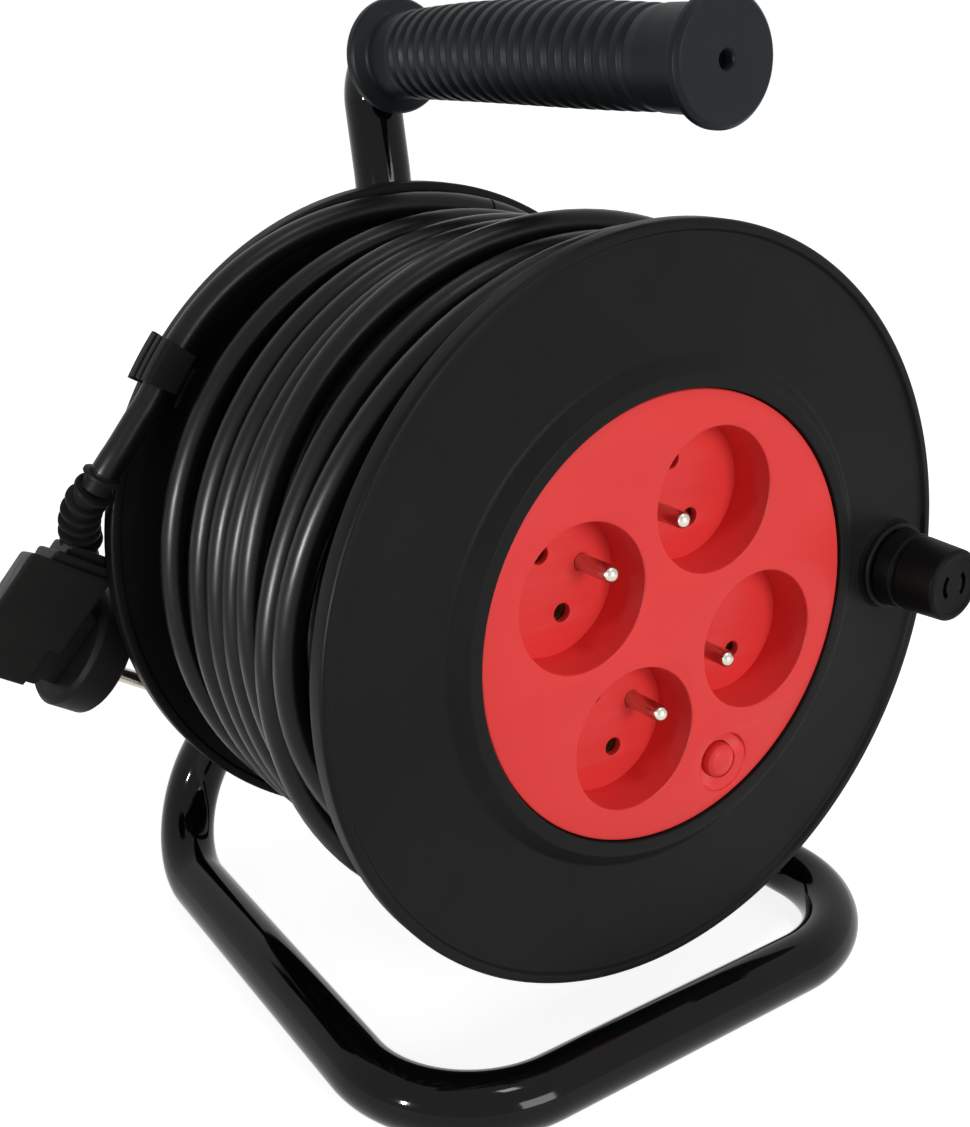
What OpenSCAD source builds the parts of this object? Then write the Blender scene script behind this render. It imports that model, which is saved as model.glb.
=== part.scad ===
// Extension cord reel: drum on a stub axle, bent tube stand, socket panel, cable and plug.
// Millimetres, +Z up, floor at Z = 0, the origin at the bottom centre of the whole reel.
// The drum axis runs along Y; the socket panel faces -Y.

/* [Drum] */
// Flange radius
flange_r = 106; // [102:0.5:110]
// Outer width of the drum, rim to rim
drum_w = 133; // [131:0.5:140]
// Flange web thickness
web_t = 3; // [2.5:0.1:3.5]
// Rim bead width
bead_w = 3; // [2.5:0.1:4]
// Barrel outer radius
barrel_r = 66.5; // [66:0.1:68]
// Barrel wall
barrel_wall = 3.2; // [2.8:0.1:3.2]

/* [Socket panel] */
// Panel radius
panel_r = 62.9; // [62:0.1:63]
// Radius of the circle of sockets
socket_ring_r = 33.9; // [33:0.1:35]
// Socket mouth radius
socket_r = 20.3; // [19.8:0.1:20.6]
// Socket depth
socket_depth = 14; // [13:0.5:16]
// Turn of the panel in the drum, degrees
panel_turn = 22.2; // [0:0.1:45]
// Reset button radius
button_r = 5.2; // [4.8:0.1:5.6]
// Reset button stroke
button_stroke = 1.5; // [1:0.1:1.8]

/* [Crank knob] */
// Knob radius at its base
knob_r1 = 12; // [11:0.1:12.5]
// Knob radius at its end
knob_r2 = 10.8; // [10:0.1:11.5]
// Knob length
knob_l = 21.7; // [20:0.1:26]
// Knob axis, in from the flange edge
knob_inset = 17.3; // [17:0.1:19]
// Knob pin radius
knob_pin_r = 4; // [3.5:0.1:4.5]

/* [Stand] */
// Stand tube radius
tube_r = 9; // [8.5:0.1:9.2]
// Tube wall
tube_wall = 1.5; // [1:0.1:2]
// Drum axis above the floor
axis_h = 131.1; // [130:0.1:134]
// Half width of the floor loop at the front, bar axis to bar axis
front_half = 86.6; // [84:0.1:90]
// Half width of the floor loop at the rear
rear_half = 78.8; // [76:0.1:80]
// Front bar axis, ahead of the front rim
front_y = -9.1; // [-12:0.1:-8]
// Rear corners, behind the front rim
rear_y = 178; // [176:0.5:184]
// Axle radius
axle_r = 6; // [5.8:0.1:6.2]

/* [Handle] */
// Grip axis above the drum axis
grip_h = 143.4; // [140:0.1:150]
// Grip radius over the ribs
grip_r = 13.6; // [13:0.1:14]
// Grip end disc radius
grip_disc_r = 16; // [15:0.1:17]
// Rib pitch
rib_pitch = 5.2; // [5:0.1:5.4]

/* [Cable] */
// Cable radius
cable_r = 4.2; // [4:0.05:4.3]
// Turns in the outer layer
turns = 10; // [9:1:10]
// Plug head radius
plug_r = 20; // [19:0.1:20]

/* [Hidden] */
$fn = 64;
touch = 0;
gap = 0.3;
run_fit = 0.04;

// stand
tube_in = tube_r - tube_wall;
floor_z = tube_r - axis_h;
front_bend = 38;
rear_bend = 30;
apex = [0, 148, 31];
post_y = drum_w + tube_r + 1;
post_bottom = -18;
plate_w = 40;
plate_t = 3;
plate_corner = 6;
knee = [0, post_y, 104];
neck = [0, post_y + 8, grip_h];
knee_bend = 60;
neck_bend = 13;
leg_trim = tube_r + 0.1;

// drum, measured from the front rim plane along the drum axis
face_y = 1.5;
web_back = face_y + web_t;
rear_web = drum_w - 6;
rear_back = rear_web + web_t;
barrel_in = barrel_r - barrel_wall;
split_y = 66.5;
lap = 4;
collar_in = panel_r + 0.4;
collar_top = 67;
collar_foot = 71.5;
collar_y = -2.5;
ledge_r = 59.5;
ledge_y = collar_y + 3.8;
ledge_t = 3;
pillar_r = 5;
pillar_at = barrel_in - 4.3;
pillar_front = 45;
screw_r = 1.9;
hub_r = 11;
hub_front = 72;
bush_r = axle_r + 2;
bush_l = 14;
inlet_y = 47;
inlet_turn = 135;
inlet_r = 6.2;
clamp_x = 46;
clamp_half = 12;
shelf_in = 12;
clamp_screw = 8;
clamp_w = 10;
lead_in = 26;

// panel
panel_face = collar_y + 1;
panel_t = 2.7;
panel_back = panel_face + panel_t;
socket_xy = socket_ring_r * sin(45);
socket_wall = 2;
floor_y = panel_face + socket_depth;
floor_t = 2.5;
cup_back = floor_y + floor_t;
pin_pitch = 19;
contact_hole_r = 2.6;
earth_r = 2.4;
earth_off = 10.8;
button_at = -52;
scoop_r = 8.8;
scoop_depth = 3;
scoop_y = panel_face + scoop_depth;
scoop_pad = 2.4;
hook_w = 8;

// contacts
sleeve_r = contact_hole_r + 0.7;
sleeve_in = contact_hole_r;
carrier_y = cup_back + 4;
carrier_t = 3;
carrier_r = 50;
neutral_y = cup_back + 9;
live_y = cup_back + 13;
bar_t = 1.2;
bar_w = 6;
earth_y = cup_back + 18;
sleeve_start = cup_back + 1;
cutout_w = 14;
cutout_y = panel_back + 7;
cutout_l = 24;
cutout_top = -43;
cutout_h = 15;
tab_x = 4;
tab_l = 8;

// knob
knob_x = flange_r - knob_inset;
knob_z = -3.3;
boss_r = 13.35;
boss_y = -2;
knob_y = boss_y - gap;
knob_end = knob_y - knob_l;
pin_head_y = knob_end + 2.5;
pin_head_t = 3.2;

// grip
grip_front = -13.95;
disc_t = 4;
tube_end = grip_front + disc_t;
grip_back = post_y + 8 - neck_bend * tan(50.5) - 0.6;
ribs = 17;
rib_start = 18;

// cable
lane_y = rear_web - cable_r - 0.7;
lane_r = 99;
clip_cord_r = 104.5;
tail_turn = 75;
wind_r = 93;
wind_rise = 5.2;
wind_rear = 104;
wind_front = 9.6;
rings = 24;
sides = 6;
dive = 0.3;
core_r = wind_r - cable_r - 1.3;

// plug
plug_at = [-108.16, drum_w + 19.8, -31.65];
plug_neck = [5, 20, 26];
plug_tilt = [18, 32, 0];
block_top = 28;
head_t = 12;
pin_l = 19;
pin_root_r = 2;
block = [26, 26, 41];

// placing
rear_dir = unit([rear_half - front_half, rear_y - front_y, 0]);
leg_dir = unit([apex[0] - rear_half, apex[1] - rear_y, apex[2] - floor_z]);
rear_ext = torus_reach([front_half, front_y, floor_z], [rear_half, rear_y, floor_z], apex,
  rear_bend) + tube_r;
y_mid = (rear_ext + knob_end) / 2;
echo(y_mid = y_mid);

// ---------- helpers ----------
function unit(v) = v / norm(v);
function arc_mid(a, v, b, r) = let (p = unit(a - v), q = unit(b - v), t = acos(p * q))
  v + unit(p + q) * r / sin(t / 2);
function arc_cut(a, v, b, r) = let (p = unit(a - v), q = unit(b - v), t = acos(p * q))
  r / tan(t / 2);
function torus_reach(a, v, b, r) = let (c = arc_mid(a, v, b, r), p = unit(a - v),
  s = v + p * arc_cut(a, v, b, r), e1 = unit(s - c), e2 = p)
  c[1] + r * sqrt(e1[1] * e1[1] + e2[1] * e2[1]);
function cols(a, b, c, o) = [[a[0], b[0], c[0], o[0]], [a[1], b[1], c[1], o[1]],
  [a[2], b[2], c[2], o[2]], [0, 0, 0, 1]];
function side_of(d) = abs(d[2]) > 0.9 ? unit(cross([1, 0, 0], d)) : unit(cross([0, 0, 1], d));

module place() translate([0, -y_mid, axis_h]) children();
module turned(x, z, y) translate([x, y, z]) rotate([-90, 0, 0]) children();
module in_panel() rotate([0, -panel_turn, 0]) children();
module ring2(r, w) difference() {
  circle(r = r);
  if (w > 0) circle(r = w);
}
module run(p, q, r, w) multmatrix(cols(side_of(unit(q - p)),
    cross(unit(q - p), side_of(unit(q - p))), unit(q - p), p))
  linear_extrude(height = norm(q - p)) ring2(r, w);
module bend(a, v, b, big, r, w) {
  c = arc_mid(a, v, b, big);
  s = v + unit(a - v) * arc_cut(a, v, b, big);
  e = v + unit(b - v) * arc_cut(a, v, b, big);
  n = unit(cross(s - c, e - c));
  e1 = unit(s - c);
  multmatrix(cols(e1, cross(n, e1), n, c))
    rotate_extrude(angle = acos(unit(s - c) * unit(e - c))) translate([big, 0]) ring2(r, w);
}
// a ring that ties two lengths of a bent tube together
seam = 0.1;
seam_w = 0.8;
module tie(p, d, r, w) run(p - d * seam_w / 2, p + d * seam_w / 2, r + seam, w - seam);
// a bent tube along p, with the bend radius of every inner corner in bends
module bent(p, bends, r, w) {
  last = len(p) - 1;
  for (i = [0:last - 1]) {
    s = i == 0 ? p[0] : p[i] + unit(p[i + 1] - p[i]) * arc_cut(p[i - 1], p[i], p[i + 1], bends[i - 1]);
    e = i == last - 1 ? p[last]
      : p[i + 1] + unit(p[i] - p[i + 1]) * arc_cut(p[i], p[i + 1], p[i + 2], bends[i]);
    run(s, e, r, w);
    if (i > 0) {
      bend(p[i - 1], p[i], p[i + 1], bends[i - 1], r, w);
      tie(s, unit(p[i + 1] - p[i]), r, w);
    }
    if (i < last - 1) tie(e, unit(p[i + 1] - p[i]), r, w);
  }
}
module tube_y(y0, y1, r, w) turned(0, 0, y0) linear_extrude(height = y1 - y0) ring2(r, w);
module plate_xz(x0, x1, z0, z1, y0, t) translate([x0, y0, z0]) cube([x1 - x0, t, z1 - z0]);
module rrect(a, b, r) {
  square([a - 2 * r, b], center = true);
  square([a, b - 2 * r], center = true);
  for (x = [-1, 1]) for (y = [-1, 1]) translate([x * (a / 2 - r), y * (b / 2 - r)]) circle(r = r);
}

// swept skin of a cord: centres, radius of each ring, number of sides
function ahead(c, i) = unit(c[min(i + 1, len(c) - 1)] - c[max(i - 1, 0)]);
function first_side(d) = unit([0, 1, 0] - ([0, 1, 0] * d) * d);
function skin_pts(c, r, n) = [for (i = [0:len(c) - 1]) let (d = ahead(c, i), u = first_side(d),
  v = cross(d, u)) for (j = [0:n - 1]) c[i] + r[i] * (cos(360 * j / n) * u + sin(360 * j / n) * v)];
function skin_faces(m, n) = concat([for (j = [1:n - 2]) [0, j, j + 1]],
  [for (i = [0:m - 2]) for (j = [0:n - 1]) [i * n + j, (i + 1) * n + j, (i + 1) * n + (j + 1) % n]],
  [for (i = [0:m - 2]) for (j = [0:n - 1]) [i * n + j, (i + 1) * n + (j + 1) % n, i * n + (j + 1) % n]],
  [for (j = [1:n - 2]) [(m - 1) * n, (m - 1) * n + j + 1, (m - 1) * n + j]]);
module skin(c, r, n) polyhedron(points = skin_pts(c, r, n), faces = skin_faces(len(c), n),
  convexity = 6);
function flat(r, m) = [for (i = [0:m - 1]) r];
function on_drum(a, r, y) = [r * cos(a), y, r * sin(a)];
function smooth(t) = let (s = max(0, min(1, t))) s * s * (3 - 2 * s);

// ---------- stand ----------
module stand_tube() color([0.05, 0.05, 0.055]) place() difference() {
  bent([[-3, apex[1], apex[2]], [-rear_half, rear_y, floor_z], [-front_half, front_y, floor_z],
    [front_half, front_y, floor_z], [rear_half, rear_y, floor_z], [3, apex[1], apex[2]]],
    [rear_bend, front_bend, front_bend, rear_bend], tube_r, tube_in);
  plate_xz(-leg_trim, leg_trim, -60, 80, 100, 100);
}
module handle_tube() color([0.05, 0.05, 0.055]) place() difference() {
  bent([[0, post_y, post_bottom], knee, neck, [0, tube_end, grip_h]], [knee_bend, neck_bend],
    tube_r, tube_in);
  tube_y(post_y - 2 * tube_r, post_y + 2 * tube_r, axle_r, 0);
}
module hub_plate() color([0.08, 0.08, 0.085]) place() difference() {
  turned(0, 0, post_y - tube_r - plate_t) linear_extrude(height = plate_t) rrect(plate_w, plate_w,
    plate_corner);
  tube_y(rear_back, post_y, axle_r, 0);
}
module axle() color([0.62, 0.63, 0.65]) place() {
  tube_y(hub_front - 13, post_y + tube_r + 1.5, axle_r, 0);
}
module thrust_washer() color([0.85, 0.84, 0.8]) place()
  tube_y(rear_back + gap, post_y - tube_r - plate_t, axle_r + 6, axle_r);
module axle_washer() color([0.7, 0.71, 0.73]) place()
  tube_y(hub_front - gap - 1.6, hub_front - gap, axle_r + 5, axle_r);
module axle_nut() color([0.68, 0.69, 0.71]) place() difference() {
  turned(0, 0, hub_front - gap - 1.6 - 8) cylinder(r = 10.4, h = 8, $fn = 6);
  tube_y(hub_front - 15, hub_front + 2, axle_r, 0);
}

// ---------- handle grip ----------
function rib_top(k) = grip_r - 0.5 * pow((k - ribs / 2 + 0.5) / (ribs / 2), 2);
rib_pts = [for (k = [0:ribs - 1]) let (y = rib_start + k * rib_pitch, r = rib_top(k))
  each [[r - 1.3, y], [r, y + 0.8], [r, y + rib_pitch - 2.1], [r - 1.3, y + rib_pitch - 1.3]]];
module handle_grip() color([0.13, 0.14, 0.155]) place() turned(0, grip_h, 0) rotate_extrude()
  polygon(concat([[2.25, grip_front + 0.6], [2.8, grip_front], [grip_disc_r - 1.4, grip_front],
    [grip_disc_r - 0.4, grip_front + 0.4], [grip_disc_r, grip_front + 1.3],
    [grip_disc_r, grip_front + 2.9], [grip_disc_r - 0.5, grip_front + disc_t],
    [grip_r - 0.9, grip_front + disc_t + 1.2], [grip_r - 0.5, grip_front + 12],
    [grip_r - 0.7, rib_start - 6]], rib_pts,
    [[grip_r - 0.8, rib_start + ribs * rib_pitch + 5], [grip_r - 0.6, grip_back - 5],
    [grip_disc_r, grip_back - 4.2], [grip_disc_r + 1, grip_back - 3.2],
    [grip_disc_r + 1, grip_back - 0.9], [grip_disc_r + 0.2, grip_back],
    [tube_r + 0.05, grip_back], [tube_r + 0.05, tube_end], [2.25, tube_end]]));

// ---------- drum ----------
module front_shell() turned(0, 0, 0) rotate_extrude() polygon([
  [flange_r - bead_w, face_y], [flange_r - bead_w + 0.5, 0.5], [flange_r - bead_w + 1.1, 0],
  [flange_r - 0.8, 0], [flange_r, 0.8], [flange_r, 5.6], [flange_r - 0.8, 6.4],
  [flange_r - bead_w + 0.6, 6.4], [flange_r - bead_w, web_back], [barrel_r, web_back],
  [barrel_r, split_y - lap], [barrel_r - 1.75, split_y - lap], [barrel_r - 1.75, split_y],
  [barrel_in, split_y], [barrel_in, ledge_y + ledge_t], [ledge_r, ledge_y + ledge_t],
  [ledge_r, ledge_y], [collar_in, ledge_y], [collar_in, collar_y], [collar_top - 0.3, collar_y],
  [collar_top + 0.4, collar_y + 0.4], [collar_foot, face_y]]);
module pillars(y0, y1) in_panel() for (a = [0:90:270]) rotate([0, -a, 0])
  turned(pillar_at, 0, y0) cylinder(r = pillar_r, h = y1 - y0);
module pillar_bores(y0, y1, r) in_panel() for (a = [0:90:270]) rotate([0, -a, 0])
  turned(pillar_at, 0, y0) cylinder(r = r, h = y1 - y0);
module inlet_side() in_panel() rotate([0, -inlet_turn, 0]) children();
module knob_side() translate([knob_x, 0, knob_z]) children();
module drum_front_half() color([0.10, 0.10, 0.105]) place() difference() {
  union() {
    front_shell();
    intersection() {
      pillars(pillar_front, split_y);
      tube_y(0, split_y, barrel_in + 0.2, 0);
    }
    knob_side() turned(0, 0, boss_y) cylinder(r = boss_r, h = face_y + 1 - boss_y);
    inlet_side() plate_xz(clamp_x - shelf_in, pillar_at + 1.5, -clamp_half, clamp_half, inlet_y + cable_r, web_t);
    inlet_side() for (z = [-clamp_half, clamp_half - web_t]) plate_xz(pillar_at, barrel_in, z,
      z + web_t, inlet_y + cable_r, 4 * web_t);
  }
  pillar_bores(pillar_front - 1, split_y + 1, screw_r);
  in_panel() turned(0, button_at, face_y - 1) cylinder(r = scoop_r + 1.6 + gap, h = ledge_t + 2);
  knob_side() turned(0, 0, boss_y - 1) cylinder(r = knob_pin_r, h = 12);
  knob_side() turned(0, 0, web_back - 1.2) cylinder(r = knob_pin_r + 2.5, h = 4);
  inlet_side() translate([50, inlet_y, 0]) rotate([0, 90, 0]) cylinder(r = inlet_r, h = 20);
  inlet_side() for (z = [-clamp_screw, clamp_screw]) turned(clamp_x, z, inlet_y) cylinder(r = 1.4, h = 12);
}
module rear_shell() turned(0, 0, 0) rotate_extrude() polygon([
  [hub_r, rear_web], [hub_r, hub_front], [bush_r, hub_front], [bush_r, rear_back],
  [flange_r - bead_w - 0.6, rear_back], [flange_r - bead_w, drum_w - 0.8],
  [flange_r - bead_w + 0.8, drum_w], [flange_r - 1, drum_w], [flange_r, drum_w - 1],
  [flange_r, rear_web], [flange_r - 0.6, rear_web - 0.6],
  [flange_r - bead_w + 0.6, rear_web - 0.6], [flange_r - bead_w, rear_web],
  [barrel_r, rear_web], [barrel_r, split_y - lap], [barrel_r - 1.45, split_y - lap],
  [barrel_r - 1.45, split_y], [barrel_in, split_y], [barrel_in, rear_web]]);
module drum_rear_half() color([0.10, 0.10, 0.105]) place() difference() {
  union() {
    rear_shell();
    intersection() {
      pillars(split_y, rear_web + 1);
      tube_y(0, rear_web + 1, barrel_in + 0.2, 0);
    }
    in_panel() for (a = [0:90:270]) rotate([0, -a, 0])
      plate_xz(hub_r - 1, pillar_at - 2, -1.25, 1.25, rear_web - 30, 31);
  }
  pillar_bores(split_y - 1, drum_w, screw_r + 0.2);
}
module drum_screws() color([0.7, 0.71, 0.73]) place() in_panel() for (a = [0:90:270])
  rotate([0, -a, 0]) {
    turned(pillar_at, 0, split_y - 16) cylinder(r = screw_r, h = rear_back - split_y + 16);
    turned(pillar_at, 0, rear_back) difference() {
      cylinder(r = 3.6, h = 2.4);
      translate([0, 0, 1.2]) cube([5, 0.9, 3], center = true);
      translate([0, 0, 1.2]) cube([0.9, 5, 3], center = true);
    }
  }
module hub_bushes() color([0.82, 0.8, 0.74]) place() {
  tube_y(hub_front, hub_front + bush_l, bush_r, axle_r + run_fit);
  tube_y(rear_back - bush_l, rear_back, bush_r, axle_r + run_fit);
}
clip_turn = 145.5;
clip_arc = 8;
module cord_clip() color([0.09, 0.09, 0.095]) place() rotate([0, -clip_turn - clip_arc / 2, 0])
  mirror([0, 0, 1]) turned(0, 0, 0) rotate_extrude(angle = -clip_arc) polygon([
    [flange_r, drum_w - 1], [flange_r + 1.8, drum_w - 1], [flange_r + 1.8, rear_web + 1.6],
    [flange_r + 4.9, rear_web + 0.6], [flange_r + 4.9, lane_y - cable_r - 2.3],
    [flange_r - 5, lane_y - cable_r - 2.3], [flange_r - 5, lane_y - cable_r - 0.5],
    [flange_r + 3.1, lane_y - cable_r - 0.5], [flange_r + 3.1, rear_web], [flange_r, rear_web]]);

// ---------- socket panel ----------
module each_socket() in_panel() for (x = [-1, 1]) for (z = [-1, 1])
  translate([x * socket_xy, 0, z * socket_xy]) mirror([x > 0 ? 0 : 1, 0, 0]) children();
module socket_panel() color([0.86, 0.22, 0.2]) place() difference() {
  union() {
    turned(0, 0, panel_face) cylinder(r = panel_r, h = panel_t);
    each_socket() turned(0, 0, panel_face + 1) cylinder(r = socket_r + socket_wall,
      h = cup_back - panel_face - 1);
    in_panel() turned(0, button_at, panel_face + 1) cylinder(r = scoop_r + 1.6,
      h = scoop_depth + scoop_pad - 1);
    in_panel() for (a = [20, 70, 110, 160, 200, 250, 290, 340]) rotate([0, -a, 0]) {
      plate_xz(ledge_r - 3.2, ledge_r - 0.4, -hook_w / 2, hook_w / 2, panel_back - 0.5, ledge_t + 3);
      plate_xz(ledge_r - 1, ledge_r + 1.2, -hook_w / 2, hook_w / 2, ledge_y + ledge_t + 0.1, 1.8);
    }
  }
  each_socket() {
    turned(0, 0, panel_face - 1) cylinder(r = socket_r, h = socket_depth + 1);
    for (z = [-1, 1]) turned(0, z * pin_pitch / 2, floor_y - 1) cylinder(r = contact_hole_r,
      h = floor_t + 2);
    turned(-earth_off, 0, floor_y - 1) cylinder(r = earth_r, h = floor_t + 2);
  }
  in_panel() {
    turned(0, button_at, panel_face - 1) cylinder(r = scoop_r, h = scoop_depth + 1);
    turned(0, button_at, scoop_y - 1) cylinder(r = button_r + gap, h = 8);
  }
}
module earth_pins() color([0.85, 0.85, 0.83]) place() each_socket() {
  turned(-earth_off, 0, panel_face + earth_r) cylinder(r = earth_r, h = earth_y - panel_face - earth_r);
  translate([-earth_off, panel_face + earth_r, 0]) sphere(r = earth_r);
}
module reset_button() color([0.84, 0.2, 0.19]) place() in_panel() turned(0, button_at, 0)
  rotate_extrude() polygon([[0, scoop_y - 3.6], [button_r - 2.6, scoop_y - 3.3],
    [button_r - 0.9, scoop_y - 2.4], [button_r, scoop_y - 1], [button_r, scoop_y + scoop_pad + 0.4],
    [button_r + 1.2, scoop_y + scoop_pad + 0.4], [button_r + 1.2, scoop_y + scoop_pad + 1.2],
    [2, scoop_y + scoop_pad + 1.2], [2, cutout_y + 2], [0, cutout_y + 2]]);

// ---------- contacts behind the panel ----------
module contact_carrier() color([0.9, 0.89, 0.86]) place() difference() {
  union() {
    tube_y(carrier_y, carrier_y + carrier_t, carrier_r, 0);
    each_socket() turned(0, 0, cup_back) linear_extrude(height = carrier_y - cup_back + 1)
      ring2(socket_r + 1, socket_r - 2);
  }
  each_socket() {
    for (z = [-1, 1]) turned(0, z * pin_pitch / 2, carrier_y - 1) cylinder(r = sleeve_r, h = 6);
    turned(-earth_off, 0, carrier_y - 1) cylinder(r = earth_r, h = 6);
  }
  in_panel() plate_xz(-cutout_w / 2 - 1, cutout_w / 2 + 1, -60, cutout_top + 1, carrier_y - 2, 8);
}
// up: the outer pair of contacts on one side of the panel, the inner pair on the other
module contact_bar(up, y) in_panel() difference() {
  union() {
    for (z = [up * (socket_xy + pin_pitch / 2), -up * (socket_xy - pin_pitch / 2)]) {
      plate_xz(-socket_xy, socket_xy, z - bar_w / 2, z + bar_w / 2, y, bar_t);
      for (x = [-1, 1]) turned(x * socket_xy, z, sleeve_start)
        cylinder(r = sleeve_r, h = y + bar_t - sleeve_start);
    }
    plate_xz(-bar_w / 2, bar_w / 2, min(up * (socket_xy + pin_pitch / 2),
      -up * (socket_xy - pin_pitch / 2)), max(up * (socket_xy + pin_pitch / 2),
      -up * (socket_xy - pin_pitch / 2)), y, bar_t);
  }
  for (z = [up * (socket_xy + pin_pitch / 2), -up * (socket_xy - pin_pitch / 2)])
    for (x = [-1, 1]) turned(x * socket_xy, z, sleeve_start - 1)
      cylinder(r = sleeve_in, h = y + bar_t - sleeve_start + 2);
}
module live_bar() color([0.78, 0.6, 0.3]) place() contact_bar(1, live_y);
module neutral_bar() color([0.78, 0.6, 0.3]) place() contact_bar(-1, neutral_y);
module earth_bar() color([0.78, 0.6, 0.3]) place() in_panel() {
  a = socket_xy - earth_off;
  for (z = [-socket_xy, socket_xy])
    plate_xz(-a - 3.5, a + 3.5, z - bar_w / 2, z + bar_w / 2, earth_y, bar_t);
  plate_xz(-a - 3.5, -a + 2.5, -socket_xy, socket_xy, earth_y, bar_t);
}
module thermal_cutout() color([0.16, 0.16, 0.17]) place() in_panel() difference() {
  union() {
    plate_xz(-cutout_w / 2, cutout_w / 2, cutout_top - cutout_h, cutout_top, cutout_y, cutout_l);
    for (x = [-tab_x, tab_x]) plate_xz(x - 0.4, x + 0.4, cutout_top - 10, cutout_top - 4,
      cutout_y + cutout_l, tab_l);
  }
  turned(0, button_at, cutout_y - 1) cylinder(r = 2 + gap, h = 6);
}

// ---------- cable inlet ----------
module inlet_grommet() color([0.12, 0.12, 0.12]) place() inlet_side()
  translate([barrel_in - 2, inlet_y, 0]) rotate([0, 90, 0]) {
    linear_extrude(height = barrel_wall + 1) ring2(inlet_r, cable_r);
    linear_extrude(height = 1.6) ring2(inlet_r + 0.0, cable_r);
  }
module inner_lead() color([0.1, 0.1, 0.1]) place() inlet_side() translate([lead_in, inlet_y, 0])
  rotate([0, 90, 0]) cylinder(r = cable_r, h = barrel_r - 1 - lead_in);
module cord_clamp() color([0.85, 0.84, 0.8]) place() inlet_side() difference() {
  plate_xz(clamp_x - clamp_w / 2, clamp_x + clamp_w / 2, -clamp_half, clamp_half,
    inlet_y - cable_r - 2.5, 2 * cable_r + 2.5);
  translate([clamp_x - clamp_w, inlet_y, 0]) rotate([0, 90, 0]) cylinder(r = cable_r, h = 2 * clamp_w);
  plate_xz(clamp_x - clamp_w, clamp_x + clamp_w, -cable_r, cable_r, inlet_y, cable_r + 2);
  for (z = [-clamp_screw, clamp_screw]) turned(clamp_x, z, inlet_y - 10) cylinder(r = 1.6, h = 20);
}
module clamp_screws() color([0.7, 0.71, 0.73]) place() inlet_side()
  for (z = [-clamp_screw, clamp_screw]) {
    turned(clamp_x, z, inlet_y - cable_r - 2.5) cylinder(r = 1.4, h = 2 * cable_r + 2.5 + 2.8);
    turned(clamp_x, z, inlet_y - cable_r - 4.5) cylinder(r = 2.9, h = 2);
  }
wire_r = 1.4;
function at_inlet(x, y, z) = let (a = inlet_turn) [x * cos(a) - z * sin(a), y, x * sin(a) + z * cos(a)];
function cubic(a, b, c, d, t) = let (s = 1 - t) s * s * s * a + 3 * s * s * t * b
  + 3 * s * t * t * c + t * t * t * d;
module wire(a, b, c, d) skin([for (i = [0:16]) cubic(a, b, c, d, i / 16)], flat(wire_r, 17), 8);
core_drop = cable_r / 2;
core_side = 1.9;
neutral_x = (socket_xy - earth_off - 2.5 + bar_w / 2) / 2;
tab_z = cutout_top - cutout_h / 2;
module live_wire() color([0.35, 0.2, 0.12]) place() in_panel() wire(
  at_inlet(lead_in, inlet_y + core_drop, core_side), at_inlet(0, inlet_y + core_drop, core_side),
  [-tab_x, inlet_y + 2 * cable_r, tab_z], [-tab_x, cutout_y + cutout_l + tab_l, tab_z]);
module neutral_wire() color([0.2, 0.3, 0.6]) place() in_panel() wire(
  at_inlet(lead_in, inlet_y - core_drop, 0), at_inlet(lead_in / 3, inlet_y - core_drop, 0),
  [-neutral_x, earth_y + bar_w, socket_xy - pin_pitch / 2], [-neutral_x, neutral_y + bar_t,
  socket_xy - pin_pitch / 2]);
module earth_wire() color([0.35, 0.6, 0.2]) place() in_panel() wire(
  at_inlet(lead_in, inlet_y + core_drop, -core_side), at_inlet(lead_in / 2, inlet_y + core_drop, -core_side),
  [bar_w / 2, inlet_y + cable_r, socket_xy], [bar_w / 2, earth_y + bar_t, socket_xy]);

// ---------- cable ----------
module cable_core() color([0.08, 0.08, 0.08]) place()
  tube_y(web_back + gap, rear_web - gap, core_r, barrel_r);
pitch = (wind_rear - wind_front) / turns;
function wind_y(t) = lane_y - (lane_y - wind_rear) * smooth(t / dive) - pitch * max(0, t - dive);
function wind_rad(t) = let (y = wind_y(t)) wind_r + wind_rise * sin(180 * max(0, min(1,
  (wind_rear - y) / (wind_rear - wind_front)))) + (lane_r - wind_r) * (1 - smooth(t / dive));
wind_n = round((turns + dive) * rings);
wind_c = [for (i = [0:wind_n]) let (t = i / rings) on_drum(tail_turn - 360 * t, wind_rad(t), wind_y(t))];
self_gap = min([for (i = [0:wind_n - rings + 4]) min([for (j = [i + rings - 4:min(wind_n, i + rings + 4)])
  norm(wind_c[i] - wind_c[j])])]) - 2 * cable_r;
echo(winding_gap_to_itself = self_gap);
module cable_winding() color([0.12, 0.12, 0.12]) place() skin(wind_c, flat(cable_r, wind_n + 1), sides);

tail_start = tail_turn + 0.3;
tail_c = concat([for (i = [0:14]) let (a = tail_start + i * 5) on_drum(a,
  lane_r + (clip_cord_r - lane_r) * smooth((a - tail_start - 8) / 55), lane_y)],
  [[-91.6, lane_y, 50.6], [-95.6, lane_y, 45.6], [-101.6, lane_y + 0.2, 37.8],
  [-104.3, lane_y + 0.6, 34.3], [-106.8, lane_y + 1.4, 30.6], [-109.3, lane_y + 2.9, 26.3]]);
module cable_tail() color([0.12, 0.12, 0.12]) place() skin(tail_c, flat(cable_r, len(tail_c)), 10);

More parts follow.
